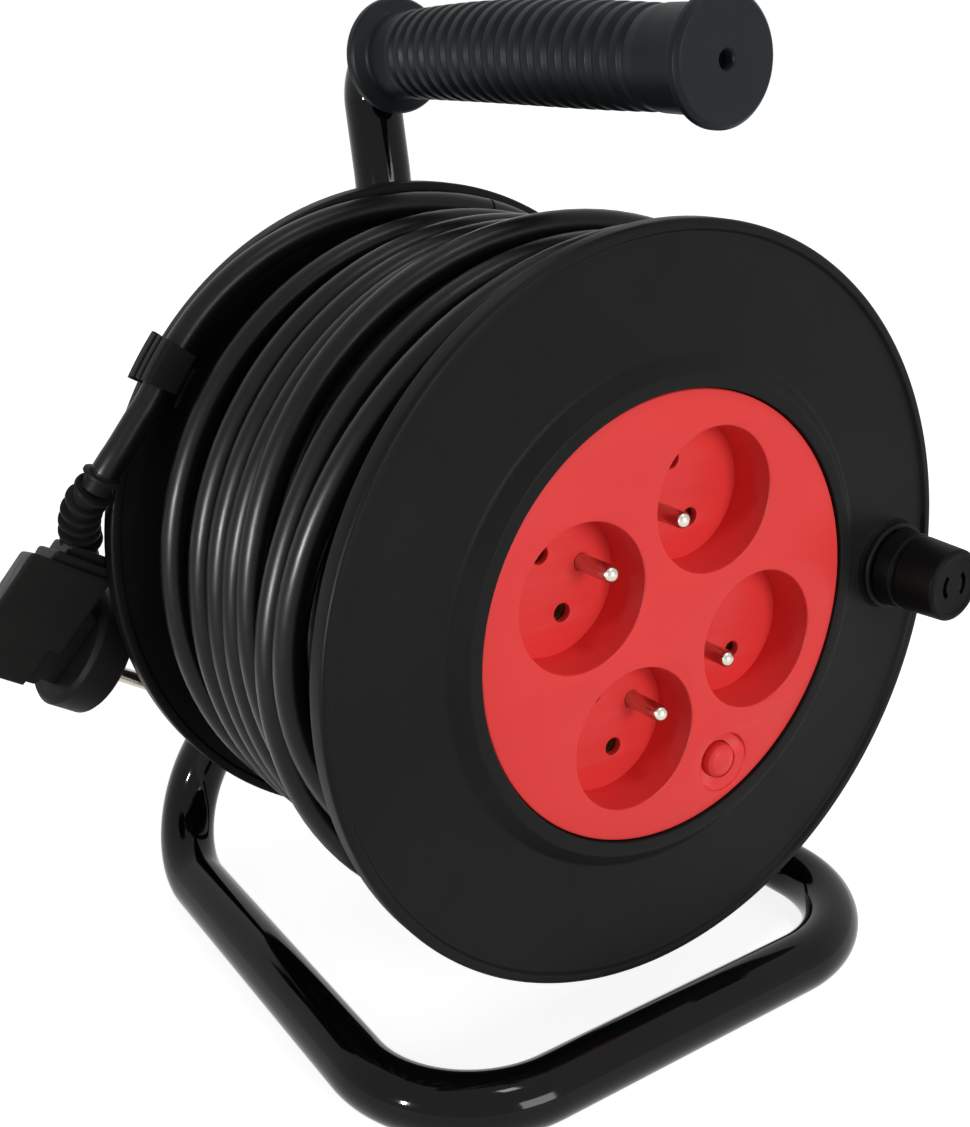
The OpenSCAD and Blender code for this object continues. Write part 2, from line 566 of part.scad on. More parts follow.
tail_end = tail_c[len(tail_c) - 1];
tail_dir = unit(tail_end - tail_c[len(tail_c) - 2]);
relief_end = plug_pt([-14 - plug_neck[0], 0, block_top]);
relief_last = plug_pt([-14 - plug_neck[0], 0, block_top + 3.9]);
relief_ribs = 7;
relief_n = relief_ribs * 4;
relief_c = concat([tail_end + gap * tail_dir], [for (i = [0:relief_n - 2]) cubic(tail_end + 1.3 * tail_dir,
  tail_end + 8 * tail_dir + [-1, 3.9, 0], relief_last + [-3.6, -3.2, 6], relief_last, i / (relief_n - 2))],
  [relief_end]);
function relief_rad(i) = i == 0 ? 4.7 : (i % 4 < 2 ? 5.1 : 4.6) + 1.5 * i / relief_n;
module strain_relief() color([0.09, 0.09, 0.09]) place()
  skin(relief_c, [for (i = [0:relief_n]) relief_rad(i)], 8);

// ---------- plug: pins along its own +X, the cable leaves along its own +Z ----------
function rot_x(p, a) = [p[0], p[1] * cos(a) - p[2] * sin(a), p[1] * sin(a) + p[2] * cos(a)];
function rot_y(p, a) = [p[0] * cos(a) + p[2] * sin(a), p[1], -p[0] * sin(a) + p[2] * cos(a)];
function plug_pt(p) = plug_at + rot_y(rot_x(p, plug_tilt[0]), plug_tilt[1]);
module in_plug() translate(plug_at) rotate(plug_tilt) children();
module along_x(x0, x1, y, z, r) translate([x0, y, z]) rotate([0, 90, 0]) cylinder(r = r, h = x1 - x0);
module plug_body() color([0.09, 0.09, 0.09]) place() in_plug() difference() {
  union() {
    along_x(-head_t / 2, head_t / 2, 0, 0, plug_r);
    translate([-head_t / 2 - plug_neck[0] - block[0] / 2 + 1, 0, block_top - block[2]])
      linear_extrude(height = block[2]) rrect(block[0] + 2, block[1], 5);
    translate([-head_t / 2 - plug_neck[0] - 2, -plug_neck[1] / 2, -11]) cube([plug_neck[0] + 4, plug_neck[1], plug_neck[2]]);
  }
  for (y = [-1, 1]) along_x(head_t / 2 - 5, head_t / 2 + 1, y * pin_pitch / 2, 0, pin_root_r);
  along_x(head_t / 2 - 9, head_t / 2 + 1, 0, earth_off, earth_r + 0.2);
  for (z = [-1, 1]) translate([-2, -4, z * (plug_r - 0.75) - 1.25]) cube([head_t, 8, 2.5]);
}
module plug_pins() color([0.85, 0.85, 0.83]) place() in_plug() for (y = [-1, 1]) {
  along_x(head_t / 2 - 5, head_t / 2 + gap, y * pin_pitch / 2, 0, pin_root_r);
  along_x(head_t / 2 + gap, head_t / 2 + pin_l - earth_r, y * pin_pitch / 2, 0, earth_r);
  translate([head_t / 2 + pin_l - earth_r, y * pin_pitch / 2, 0]) sphere(r = earth_r);
}
module plug_earth_contacts() color([0.8, 0.8, 0.78]) place() in_plug() for (z = [-1, 1])
  translate([-2, -3.5, z * (plug_r - 1.45) - 0.55]) cube([head_t / 2 + 2, 7, 1.1]);

// ---------- knob ----------
module knob_pin() color([0.7, 0.71, 0.73]) place() knob_side() {
  turned(0, 0, pin_head_y + pin_head_t) cylinder(r = knob_pin_r,
    h = web_back - 1.2 - pin_head_y - pin_head_t);
  turned(0, 0, pin_head_y) cylinder(r = knob_pin_r + 2, h = pin_head_t);
  turned(0, 0, web_back - 1.2) cylinder(r = knob_pin_r + 2.5, h = 1.2);
}
module arc_slot(a) intersection() {
  turned(0, 0, knob_end - 1) linear_extrude(height = 4) ring2(3.9, 2.1);
  translate([a > 0 ? 0.9 : -5.9, knob_end - 2, -3.6]) cube([5, 6, 7.2]);
}
module crank_knob() color([0.07, 0.07, 0.075]) place() knob_side() difference() {
  turned(0, 0, 0) rotate_extrude() polygon([[knob_pin_r + run_fit, knob_y], [knob_r1 - 0.8, knob_y],
    [knob_r1, knob_y - 0.8], [knob_r2, knob_end + 1], [knob_r2 - 1, knob_end], [0, knob_end],
    [0, pin_head_y - gap], [knob_pin_r + 2.3, pin_head_y - gap],
    [knob_pin_r + 2.3, pin_head_y + pin_head_t + gap],
    [knob_pin_r + run_fit, pin_head_y + pin_head_t + gap]]);
  arc_slot(1);
  arc_slot(-1);
}

stand_tube();
handle_tube();
hub_plate();
axle();
thrust_washer();
axle_washer();
axle_nut();
handle_grip();
cable_tail();
strain_relief();
plug_body();
plug_pins();
plug_earth_contacts();
drum_front_half();
drum_rear_half();
drum_screws();
hub_bushes();
cord_clip();
socket_panel();
earth_pins();
contact_carrier();
live_bar();
neutral_bar();
earth_bar();
thermal_cutout();
inlet_grommet();
inner_lead();
cord_clamp();
clamp_screws();
live_wire();
neutral_wire();
earth_wire();
cable_core();
cable_winding();
knob_pin();
crank_knob();
reset_button();
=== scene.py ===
import math
import random

import bmesh
import bpy
from mathutils import Matrix, Vector


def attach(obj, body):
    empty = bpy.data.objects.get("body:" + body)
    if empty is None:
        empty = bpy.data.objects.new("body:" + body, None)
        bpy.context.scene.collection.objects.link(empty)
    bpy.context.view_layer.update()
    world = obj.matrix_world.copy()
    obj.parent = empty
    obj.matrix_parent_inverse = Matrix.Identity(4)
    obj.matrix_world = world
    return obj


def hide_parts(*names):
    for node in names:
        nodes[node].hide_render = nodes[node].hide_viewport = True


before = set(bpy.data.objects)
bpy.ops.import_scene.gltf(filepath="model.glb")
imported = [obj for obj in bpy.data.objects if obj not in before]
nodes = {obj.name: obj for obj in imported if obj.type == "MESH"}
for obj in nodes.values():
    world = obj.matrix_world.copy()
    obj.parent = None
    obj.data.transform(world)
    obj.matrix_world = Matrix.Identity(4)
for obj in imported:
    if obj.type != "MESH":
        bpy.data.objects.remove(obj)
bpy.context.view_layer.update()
scene = bpy.context.scene
scene.view_settings.view_transform = "Standard"
print("frame loaded:", len(nodes), "nodes")

# Lengths are in millimetres, from the drum's axis and its front rim, and angles are in degrees.
# spot() puts them in the shared frame, in metres.
reel = {"axisHeight": 131.1, "middleY": 78.7197, "panelTurn": 22.2, "width": 133.0, "flange": 106.0,
        "barrel": 66.5, "bore": 63.3, "split": 66.5, "postAt": 59.0, "postRadius": 5.0, "cable": 4.2,
        "knobAt": (88.7, -3.3)}


def spot(x, y, z):
    return Vector((x, y - reel["middleY"], z + reel["axisHeight"])) * 0.001


def onDrum(angle, radius, y):
    a = math.radians(angle)
    return Vector((radius * math.cos(a), y, radius * math.sin(a)))


def onPanel(x, z):
    a = math.radians(reel["panelTurn"])
    return x * math.cos(a) - z * math.sin(a), x * math.sin(a) + z * math.cos(a)


def smooth(t):
    t = max(0.0, min(1.0, t))
    return t * t * (3 - 2 * t)


view = {"place": (-249.2, -277.0, 146.8), "yaw": -37.03, "pitch": 18.06, "lens": 47.36, "sensor": 36,
        "shift": (-0.0600, -0.0318), "near": 0.01, "far": 50}
cameraData = bpy.data.cameras.new("camera")
camera = bpy.data.objects.new("camera", cameraData)
scene.collection.objects.link(camera)
camera.location = spot(*view["place"])
camera.rotation_euler = (math.radians(90 - view["pitch"]), 0, math.radians(view["yaw"]))
cameraData.lens = view["lens"]
cameraData.sensor_width = view["sensor"]
cameraData.shift_x, cameraData.shift_y = view["shift"]
cameraData.clip_start = view["near"]
cameraData.clip_end = view["far"]
scene.camera = camera
print("camera set")


# Materials: every finish is one moulded() material with its own row in looks
def newMaterial(name):
    m = bpy.data.materials.new(name)
    m.use_nodes = True
    tree = m.node_tree
    shader = tree.nodes["Principled BSDF"]
    return m, tree, shader


def noiseNode(tree, scale, detail, rough, source):
    n = tree.nodes.new("ShaderNodeTexNoise")
    n.inputs["Scale"].default_value = scale
    n.inputs["Detail"].default_value = detail
    n.inputs["Roughness"].default_value = rough
    tree.links.new(source, n.inputs["Vector"])
    return n.outputs["Fac"]


# Noise lies mostly between these two values, so ramps and spans start and end there
noiseSpan = (0.3, 0.7)


def ramp(tree, source, low, high):
    r = tree.nodes.new("ShaderNodeValToRGB")
    for element, position, colour in zip(r.color_ramp.elements, noiseSpan, (low, high)):
        element.position = position
        element.color = (*colour, 1)
    tree.links.new(source, r.inputs["Fac"])
    return r.outputs["Color"]


def span(tree, source, low, high):
    n = tree.nodes.new("ShaderNodeMapRange")
    for key, value in zip(("From Min", "From Max", "To Min", "To Max"), (*noiseSpan, low, high)):
        n.inputs[key].default_value = value
    tree.links.new(source, n.inputs["Value"])
    return n.outputs["Result"]


def bump(tree, source, depth, shader, before=None):
    n = tree.nodes.new("ShaderNodeBump")
    n.inputs["Strength"].default_value = 1.0
    n.inputs["Distance"].default_value = depth * 0.001
    tree.links.new(source, n.inputs["Height"])
    if before:
        tree.links.new(before, n.inputs["Normal"])
    tree.links.new(n.outputs["Normal"], shader.inputs["Normal"])
    return n.outputs["Normal"]


def tones(base, spread):
    return [tuple(c * (1 - spread) for c in base), tuple(min(1, c * (1 + spread)) for c in base)]


# detail and roughness of each noise, and the scale of the rough patches against the blotches
texture = {"blotch": (4, 0.6), "patch": (5, 0.6), "grain": (2, 0.5), "wave": (2, 0.4), "patchScale": 2.3}


def moulded(name, look):
    m, tree, shader = newMaterial(name)
    source = tree.nodes.new("ShaderNodeTexCoord").outputs["Object"]
    low, high = tones(look["base"], look["spread"])
    blotch = noiseNode(tree, look["blotch"], *texture["blotch"], source)
    tree.links.new(ramp(tree, blotch, low, high), shader.inputs["Base Color"])
    patch = noiseNode(tree, look["blotch"] * texture["patchScale"], *texture["patch"], source)
    tree.links.new(span(tree, patch, *look["rough"]), shader.inputs["Roughness"])
    grain = noiseNode(tree, look["grain"], *texture["grain"], source)
    normal = bump(tree, grain, look["depth"], shader)
    if "wave" in look:
        scale, depth = look["wave"]
        bump(tree, noiseNode(tree, scale, *texture["wave"], source), depth, shader, normal)
    shader.inputs["Specular IOR Level"].default_value = look["specular"]
    if "metal" in look:
        shader.inputs["Metallic"].default_value = look["metal"]
    return m


# base colour and its spread, scale of the blotches, range of roughness, specular level, scale of the
# grain and its depth in mm; wave is the scale and depth of slow waves
looks = {
    "drumPlastic": {"base": (0.0098, 0.0096, 0.0094), "spread": 0.14, "blotch": 22, "rough": (0.36, 0.48),
                    "specular": 0.06, "grain": 1500, "depth": 0.012, "wave": (16, 0.05)},
    "panelRed": {"base": (0.72, 0.042, 0.040), "spread": 0.03, "blotch": 30, "rough": (0.38, 0.48),
                 "specular": 0.2, "grain": 1800, "depth": 0.006, "wave": (20, 0.03)},
    "cableSheath": {"base": (0.0042, 0.0048, 0.0045), "spread": 0.22, "blotch": 60, "rough": (0.30, 0.37),
                    "specular": 0.17, "grain": 900, "depth": 0.008, "wave": (70, 0.12)},
    "plugRubber": {"base": (0.0124, 0.0122, 0.0115), "spread": 0.18, "blotch": 50, "rough": (0.46, 0.58),
                   "specular": 0.06, "grain": 1400, "depth": 0.02},
    "gripRubber": {"base": (0.0115, 0.0152, 0.0176), "spread": 0.12, "blotch": 40, "rough": (0.40, 0.52),
                   "specular": 0.10, "grain": 1300, "depth": 0.02},
    "tubePaint": {"base": (0.0032, 0.0034, 0.0034), "spread": 0.2, "blotch": 26, "rough": (0.05, 0.11),
                  "specular": 0.16, "grain": 420, "depth": 0.006, "wave": (60, 0.02)},
    "knobPlastic": {"base": (0.0046, 0.0050, 0.0050), "spread": 0.15, "blotch": 45, "rough": (0.44, 0.54),
                    "specular": 0.05, "grain": 1500, "depth": 0.008},
    "platedPin": {"base": (0.58, 0.54, 0.47), "spread": 0.06, "blotch": 150, "rough": (0.16, 0.28),
                  "specular": 0.5, "grain": 2600, "depth": 0.004, "metal": 1.0},
    "zincSteel": {"base": (0.60, 0.61, 0.63), "spread": 0.08, "blotch": 120, "rough": (0.26, 0.42),
                  "specular": 0.5, "grain": 2000, "depth": 0.006, "metal": 1.0},
    "stampedBrass": {"base": (0.78, 0.57, 0.24), "spread": 0.08, "blotch": 120, "rough": (0.25, 0.4),
                     "specular": 0.5, "grain": 2000, "depth": 0.006, "metal": 1.0},
    "plainNylon": {"base": (0.70, 0.68, 0.62), "spread": 0.05, "blotch": 60, "rough": (0.45, 0.55),
                   "specular": 0.35, "grain": 1500, "depth": 0.01},
    "blockPlastic": {"base": (0.03, 0.03, 0.032), "spread": 0.1, "blotch": 60, "rough": (0.45, 0.55),
                     "specular": 0.35, "grain": 1500, "depth": 0.01},
    "brownCore": {"base": (0.16, 0.07, 0.03), "spread": 0.08, "blotch": 90, "rough": (0.4, 0.5),
                  "specular": 0.35, "grain": 1500, "depth": 0.01},
    "blueCore": {"base": (0.03, 0.10, 0.42), "spread": 0.08, "blotch": 90, "rough": (0.4, 0.5),
                 "specular": 0.35, "grain": 1500, "depth": 0.01},
    "greenCore": {"base": (0.16, 0.38, 0.06), "spread": 0.08, "blotch": 90, "rough": (0.4, 0.5),
                  "specular": 0.35, "grain": 1500, "depth": 0.01},
}
paint = {name: moulded(name, look) for name, look in looks.items()}
print("materials made:", len(paint))


# Shaping tools: they take points in millimetres, and a mesh is a list of points and a list of faces
def looseMesh(name, points, faces):
    mesh = bpy.data.meshes.new(name)
    mesh.from_pydata([spot(*p) for p in points], [], faces)
    mending = bmesh.new()
    mending.from_mesh(mesh)
    bmesh.ops.remove_doubles(mending, verts=mending.verts, dist=2e-7)
    bmesh.ops.dissolve_degenerate(mending, edges=mending.edges, dist=1e-8)
    bmesh.ops.recalc_face_normals(mending, faces=mending.faces)
    mending.to_mesh(mesh)
    mending.free()
    piece = bpy.data.objects.new(name, mesh)
    scene.collection.objects.link(piece)
    return piece


# Edges over the sharp angle stay crisp, and the others are shaded smooth
def finishPiece(piece, material, body, replaced, sharp):
    piece.data.materials.clear()
    piece.data.materials.append(paint[material])
    piece.data.polygons.foreach_set("use_smooth", [True] * len(piece.data.polygons))
    piece.data.set_sharp_from_angle(angle=math.radians(sharp))
    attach(piece, body)
    if replaced:
        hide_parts(*replaced)


def addPiece(name, points, faces, material, body, replaced, slot, sharp):
    piece = looseMesh(name, points, faces)
    finishPiece(piece, material, body, replaced, sharp)
    return piece


def joined(*meshes):
    points, faces = [], []
    for p, f in meshes:
        base = len(points)
        points += p
        faces += [tuple(i + base for i in face) for face in f]
    return points, faces


# Faces between rows of points; every row is a closed loop of count points
def loopFaces(rows, count, closed):
    faces = []
    for s in range(rows if closed else rows - 1):
        n = (s + 1) % rows
        for k in range(count):
            m = (k + 1) % count
            faces.append((s * count + k, n * count + k, n * count + m, s * count + m))
    return faces


def circle(radius, steps):
    return [(radius * math.cos(2 * math.pi * k / steps), radius * math.sin(2 * math.pi * k / steps))
            for k in range(steps)]


def ring(x, z, radius, steps):
    return [(x + u, z + v) for u, v in circle(radius, steps)]


# Corners of a closed outline are (x, y) or (x, y, fillet); the fillets become short arcs
def softened(corners, steps=4):
    out = []
    count = len(corners)
    for i, corner in enumerate(corners):
        here = Vector(corner[:2])
        fillet = corner[2] if len(corner) > 2 else 0
        if not fillet:
            out.append(tuple(here))
            continue
        before = (Vector(corners[i - 1][:2]) - here).normalized()
        after = (Vector(corners[(i + 1) % count][:2]) - here).normalized()
        half = before.angle(after) / 2
        reach = fillet / math.tan(half)
        middle = here + (before + after).normalized() * fillet / math.sin(half)
        start = here + before * reach - middle
        end = here + after * reach - middle
        turn = math.atan2(start.x * end.y - start.y * end.x, start.dot(end))
        for k in range(steps + 1):
            a = turn * k / steps
            out.append((middle.x + start.x * math.cos(a) - start.y * math.sin(a),
                        middle.y + start.x * math.sin(a) + start.y * math.cos(a)))
    return out


# Turns an outline of (radius, y) about an axis along Y through (x, z)
def turnedMesh(outline, centre=(0, 0), steps=96):
    points = []
    for u, v in circle(1, steps):
        points += [(centre[0] + r * u, y, centre[1] + r * v) for r, y in outline]
    return points, loopFaces(steps, len(outline), True)


# Two directions across a path at each of its points, without twist
def frames(path):
    directions = []
    for i in range(len(path)):
        d = path[min(i + 1, len(path) - 1)] - path[max(i - 1, 0)]
        directions.append(d.normalized())
    side = directions[0].orthogonal().normalized()
    out = []
    for d in directions:
        side = (side - side.dot(d) * d).normalized()
        out.append((side, d.cross(side)))
    return out


# Closed skin of a tube along a path; radius is one number or one for each point
def tubeMesh(path, radius, sides):
    radii = radius if isinstance(radius, (list, tuple)) else [radius] * len(path)
    points = []
    for p, r, (u, v) in zip(path, radii, frames(path)):
        points += [tuple(p + u * a + v * b) for a, b in circle(r, sides)]
    last = (len(path) - 1) * sides
    ends = [tuple(range(sides)), tuple(range(last, last + sides))]
    return points, loopFaces(len(path), sides, False) + ends


# A polyline with its corners rounded, sampled finely
def bentPath(corners, bends, arcSteps, straightStep):
    corners = [Vector(c) for c in corners]
    path = [corners[0]]
    for here, last, following, radius in zip(corners[1:], corners, corners[2:], bends):
        before = (last - here).normalized()
        after = (following - here).normalized()
        half = before.angle(after) / 2
        middle = here + (before + after).normalized() * radius / math.sin(half)
        start = here + before * radius / math.tan(half) - middle
        end = here + after * radius / math.tan(half) - middle
        turn = start.angle(end)
        for k in range(arcSteps + 1):
            t = k / arcSteps
            swung = start * math.sin((1 - t) * turn) + end * math.sin(t * turn)
            path.append(middle + swung / math.sin(turn))
    path.append(corners[-1])
    fine = [path[0]]
    for a, b in zip(path, path[1:]):
        parts = max(1, round((b - a).length / straightStep))
        fine += [a.lerp(b, k / parts) for k in range(1, parts + 1)]
    return fine


# A smooth line through a list of points
def smoothLine(points, parts):
    out = []
    last = len(points) - 1
    for i in range(last):
        a, b, c, d = (points[max(i - 1, 0)], points[i], points[i + 1], points[min(i + 2, last)])
        for k in range(parts):
            t = k / parts
            out.append(0.5 * ((2 * b) + (c - a) * t + (2 * a - 5 * b + 4 * c - d) * t * t
                              + (3 * b - a - 3 * c + d) * t ** 3))
    out.append(points[last].copy())
    return out


def cubic(a, b, c, d, t):
    s = 1 - t
    return a * s ** 3 + b * (3 * s * s * t) + c * (3 * s * t * t) + d * t ** 3


def lengthOf(line):
    return sum((b - a).length for a, b in zip(line, line[1:]))


def pointAt(line, far):
    for a, b in zip(line, line[1:]):
        step = (b - a).length
        if far <= step:
            return a.lerp(b, far / step)
        far -= step
    return line[-1].copy()


# A flat plate across Y: outline and holes are lists of (x, z), and its edges are rounded
def plateMesh(outline, holes, front, back, edge):
    curve = bpy.data.curves.new("plate", "CURVE")
    curve.dimensions = "2D"
    curve.fill_mode = "BOTH"
    curve.extrude = (back - front) / 2 - edge
    curve.bevel_depth = edge
    curve.bevel_resolution = 2
    curve.offset = -edge
    for loop in [outline] + list(holes):
        line = curve.splines.new("POLY")
        line.points.add(len(loop) - 1)
        for point, (x, z) in zip(line.points, loop):
            point.co = (x, z, 0, 1)
        line.use_cyclic_u = True
    holder = bpy.data.objects.new("plate", curve)
    scene.collection.objects.link(holder)
    depsgraph = bpy.context.evaluated_depsgraph_get()
    made = bpy.data.meshes.new_from_object(holder.evaluated_get(depsgraph))
    middle = (front + back) / 2
    points = [(v.co.x, middle + v.co.z, v.co.y) for v in made.vertices]
    faces = [tuple(f.vertices) for f in made.polygons]
    bpy.data.objects.remove(holder)
    bpy.data.meshes.remove(made)
    bpy.data.curves.remove(curve)
    return points, faces


def boxMesh(low, high, place):
    corners = [(x, y, z) for x in (low[0], high[0]) for y in (low[1], high[1]) for z in (low[2], high[2])]
    faces = [(0, 1, 3, 2), (4, 6, 7, 5), (0, 4, 5, 1), (2, 3, 7, 6), (0, 2, 6, 4), (1, 5, 7, 3)]
    return [tuple(place(*c)) for c in corners], faces


# Places a point that is given from the drum's axis, turned by an angle about it
def turnedBy(angle):
    t = math.radians(angle)
    return lambda x, y, z: (x * math.cos(t) - z * math.sin(t), y, x * math.sin(t) + z * math.cos(t))


def cutAway(piece, cutters):
    for cutter in cutters:
        change = piece.modifiers.new("cut", "BOOLEAN")
        change.operation = "DIFFERENCE"
        change.solver = "EXACT"
        change.object = cutter
    depsgraph = bpy.context.evaluated_depsgraph_get()
    made = bpy.data.meshes.new_from_object(piece.evaluated_get(depsgraph))
    piece.modifiers.clear()
    piece.data = made
    for cutter in cutters:
        bpy.data.objects.remove(cutter)


def mergeInto(piece, others):
    together = bmesh.new()
    for other in [piece] + others:
        together.from_mesh(other.data)
    bmesh.ops.recalc_face_normals(together, faces=together.faces)
    mesh = bpy.data.meshes.new(piece.name)
    together.to_mesh(mesh)
    together.free()
    piece.data = mesh
    for other in others:
        bpy.data.objects.remove(other)


def addBevel(piece, width, angle):
    change = piece.modifiers.new("edges", "BEVEL")
    change.width = width * 0.001
    change.segments = 2
    change.limit_method = "ANGLE"
    change.angle_limit = math.radians(angle)
    change.harden_normals = True


# Cable tail: it leaves the winding, runs under the clip and hangs free to the plug; free lists x, the
# way out of the lane and z
tail = {"laneY": 122.1, "laneRadius": 99.0, "clipRadius": 104.5, "start": 75.3, "step": 5, "stops": 15,
        "riseFrom": 8, "riseOver": 55, "sides": 24,
        "free": [(-91.6, 0, 50.6), (-95.6, 0, 45.6), (-101.6, 0.2, 37.8), (-104.3, 0.6, 34.3),
                 (-106.8, 1.4, 30.6), (-109.3, 2.9, 26.3)]}
tailPath = []
for k in range(tail["stops"]):
    turned = tail["step"] * k
    rise = smooth((turned - tail["riseFrom"]) / tail["riseOver"])
    radius = tail["laneRadius"] + (tail["clipRadius"] - tail["laneRadius"]) * rise
    tailPath.append(onDrum(tail["start"] + turned, radius, tail["laneY"]))
tailPath += [Vector((x, tail["laneY"] + dy, z)) for x, dy, z in tail["free"]]
tailLine = smoothLine(tailPath, 5)
cableTail = addPiece("cableTail", *tubeMesh(tailLine, reel["cable"], tail["sides"]), "cableSheath", "drum",
                     ("cable_tail",), "cable_sheath", 32)

# The plug's own x runs along its pins, away from its block, and z runs up to the cable; half is half
# of the head's thickness
plug = {"place": (-108.16, 152.8, -31.65), "tilt": (18, 32), "head": 20.0, "half": 6.0, "pinLength": 19.0,
        "pinRadius": 2.4, "pinGap": 9.5, "slotAt": 18.4, "earthHole": 10.8, "earthRadius": 2.6}
# sleeve is how far the finned rubber reaches back over the tail, in steps of back, lap how far that
# part runs past the tail's end, and lead how long the tail's direction holds
relief = {"pitch": 5.0, "fin": 1.4, "first": 0.9, "core": (4.35, 4.5), "rise": (1.5, 1.9), "sleeve": 5.8,
          "back": 1.4, "lap": 0.1, "lead": 8, "hold": ((-0.2, 3.9, 0.4), (-2.4, -3.2, 6.0)), "seatX": -19,
          "seatZ": 31.9, "rootZ": 23.0, "sides": 32}


def onPlug(x, y, z):
    aboutX, aboutY = plug["tilt"]
    turn = Matrix.Rotation(math.radians(aboutY), 3, "Y") @ Matrix.Rotation(math.radians(aboutX), 3, "X")
    return Vector(plug["place"]) + turn @ Vector((x, y, z))


# Thin fins on a slowly widening core, between two distances along a line
def finnedSleeve(line, start, end, whole):
    marks = [(0, 0)]
    for rib in range(math.ceil(whole / relief["pitch"])):
        base = relief["pitch"] * rib + relief["first"]
        top = base + relief["fin"]
        marks += [(base, 0), (base + 0.12, 0.85), (base + 0.3, 1)]
        marks += [(top - 0.3, 1), (top - 0.12, 0.85), (top, 0)]
    marks = [m for m in marks if m[0] < whole] + [(whole, 0)]
    path, radii = [], []
    for far, high in marks:
        if start - 1e-6 <= far <= end + 1e-6:
            part = far / whole
            core, rise = (low + (most - low) * part for low, most in (relief["core"], relief["rise"]))
            path.append(pointAt(line, far))
            radii.append(core + high * rise)
    return path, radii


tailEnd = tailLine[-1]
tailWay = (tailPath[-1] - tailPath[-2]).normalized()
reliefRoot = onPlug(relief["seatX"], 0, relief["rootZ"])
reliefSeat = onPlug(relief["seatX"], 0, relief["seatZ"])
holdFirst, holdLast = (Vector(hold) for hold in relief["hold"])
reliefWay = [tailEnd - tailWay * (relief["sleeve"] - relief["back"] * k) for k in range(4)]
holds = (tailEnd, tailEnd + tailWay * relief["lead"] + holdFirst, reliefSeat + holdLast, reliefSeat)
reliefWay += [cubic(*holds, k / 40) for k in range(41)]
reliefWay.append(reliefRoot)
whole = lengthOf(reliefWay)
split = relief["sleeve"] + relief["lap"]
reliefMesh = tubeMesh(*finnedSleeve(reliefWay, split, whole, whole), relief["sides"])
sleeveMesh = tubeMesh(*finnedSleeve(reliefWay, 0, split, whole), relief["sides"])
strainRelief = addPiece("strainRelief", *reliefMesh, "plugRubber", "stand", ("strain_relief",),
                        "plug_rubber", 40)
addPiece("tailSleeve", *sleeveMesh, "plugRubber", "drum", (), "plug_rubber", 40)


# Turns an outline of (radius, along) about an axis beside the plug's own, at (y, z) from it
def turnedOnPlug(outline, y=0.0, z=0.0, steps=72):
    points, faces = turnedMesh(outline, steps=steps)
    return [tuple(onPlug(along, y + px, z + pz)) for px, along, pz in points], faces


# Moulded block that tapers towards its back, at the top by drop and on the outer side by inset
def slopedBlock(name, low, high, edge, drop, inset=0):
    def place(x, y, z):
        back = (y - low[1]) / (high[1] - low[1])
        z -= drop * back if z > (low[2] + high[2]) / 2 else 0
        return onPlug(x + inset * back if x < (low[0] + high[0]) / 2 else x, y, z)
    piece = looseMesh(name, *boxMesh(low, high, place))
    mesh = bmesh.new()
    mesh.from_mesh(piece.data)
    bmesh.ops.bevel(mesh, geom=list(mesh.edges), offset=edge * 0.001, segments=4, profile=0.6, affect="EDGES")
    mesh.to_mesh(piece.data)
    mesh.free()
    return piece


# Round head with a lip on its contact face, two side slots and the earth hole
def makePlugHead():
    r, half = plug["head"], plug["half"]
    head = looseMesh("plugHead", *turnedOnPlug(softened([
        (0, -half), (r - 1.4, -half, 0.9), (r, 1.6 - half, 0.9), (r, half - 0.8, 0.7), (r - 0.8, half, 0.3),
        (r - 2.8, half, 0.2), (r - 3.0, half - 0.5, 0.2), (r - 3.4, half - 0.5, 0.2), (r - 3.6, half, 0.2),
        (0, half)])))
    cutters = []
    for at in (-plug["slotAt"], plug["slotAt"]):
        cutters.append(looseMesh("slot", *boxMesh((-1.6, -4, at - 1.4), (8, 4, at + 3), onPlug)))
    hole = [(0, -3), (plug["earthRadius"], -3), (plug["earthRadius"], 8), (0, 8)]
    cutters.append(looseMesh("hole", *turnedOnPlug(hole, 0, plug["earthHole"], 32)))
    cutAway(head, cutters)
    return head


plugHead = makePlugHead()
plugBlocks = [slopedBlock("block", (-37.7, -13, -12.5), (-11, 13, 30.4), 1.8, 13, 9),
              slopedBlock("neck", (-14, -9.6, -10.8), (-5.5, 10, 14.6), 1.2, 3),
              slopedBlock("step", (-30.8, -11.6, 20), (-12, 9, 33.0), 1.3, 10, 4),
              slopedBlock("step", (-27.2, -9.6, 22), (-13, 8, 35.4), 1.3, 8, 3)]
cutAway(plugBlocks[0], [looseMesh("notch", *boxMesh((-16.5, -16, -16), (-9, -9.4, 2.0), onPlug))])
mergeInto(plugHead, plugBlocks)
plugHead.name = "plugBody"
finishPiece(plugHead, "plugRubber", "stand", ("plug_body",), 40)

tip = plug["half"] + plug["pinLength"]
pinOutline = softened([(0, 2), (plug["pinRadius"], 2), (plug["pinRadius"], tip, 1.7), (0, tip)], 6)
pinParts = [turnedOnPlug(pinOutline, plug["pinGap"] * s, 0, 32) for s in (-1, 1)]
plugPins = addPiece("plugPins", *joined(*pinParts), "platedPin", "stand", ("plug_pins",), "plated_brass", 40)
print("tail, relief and plug made")

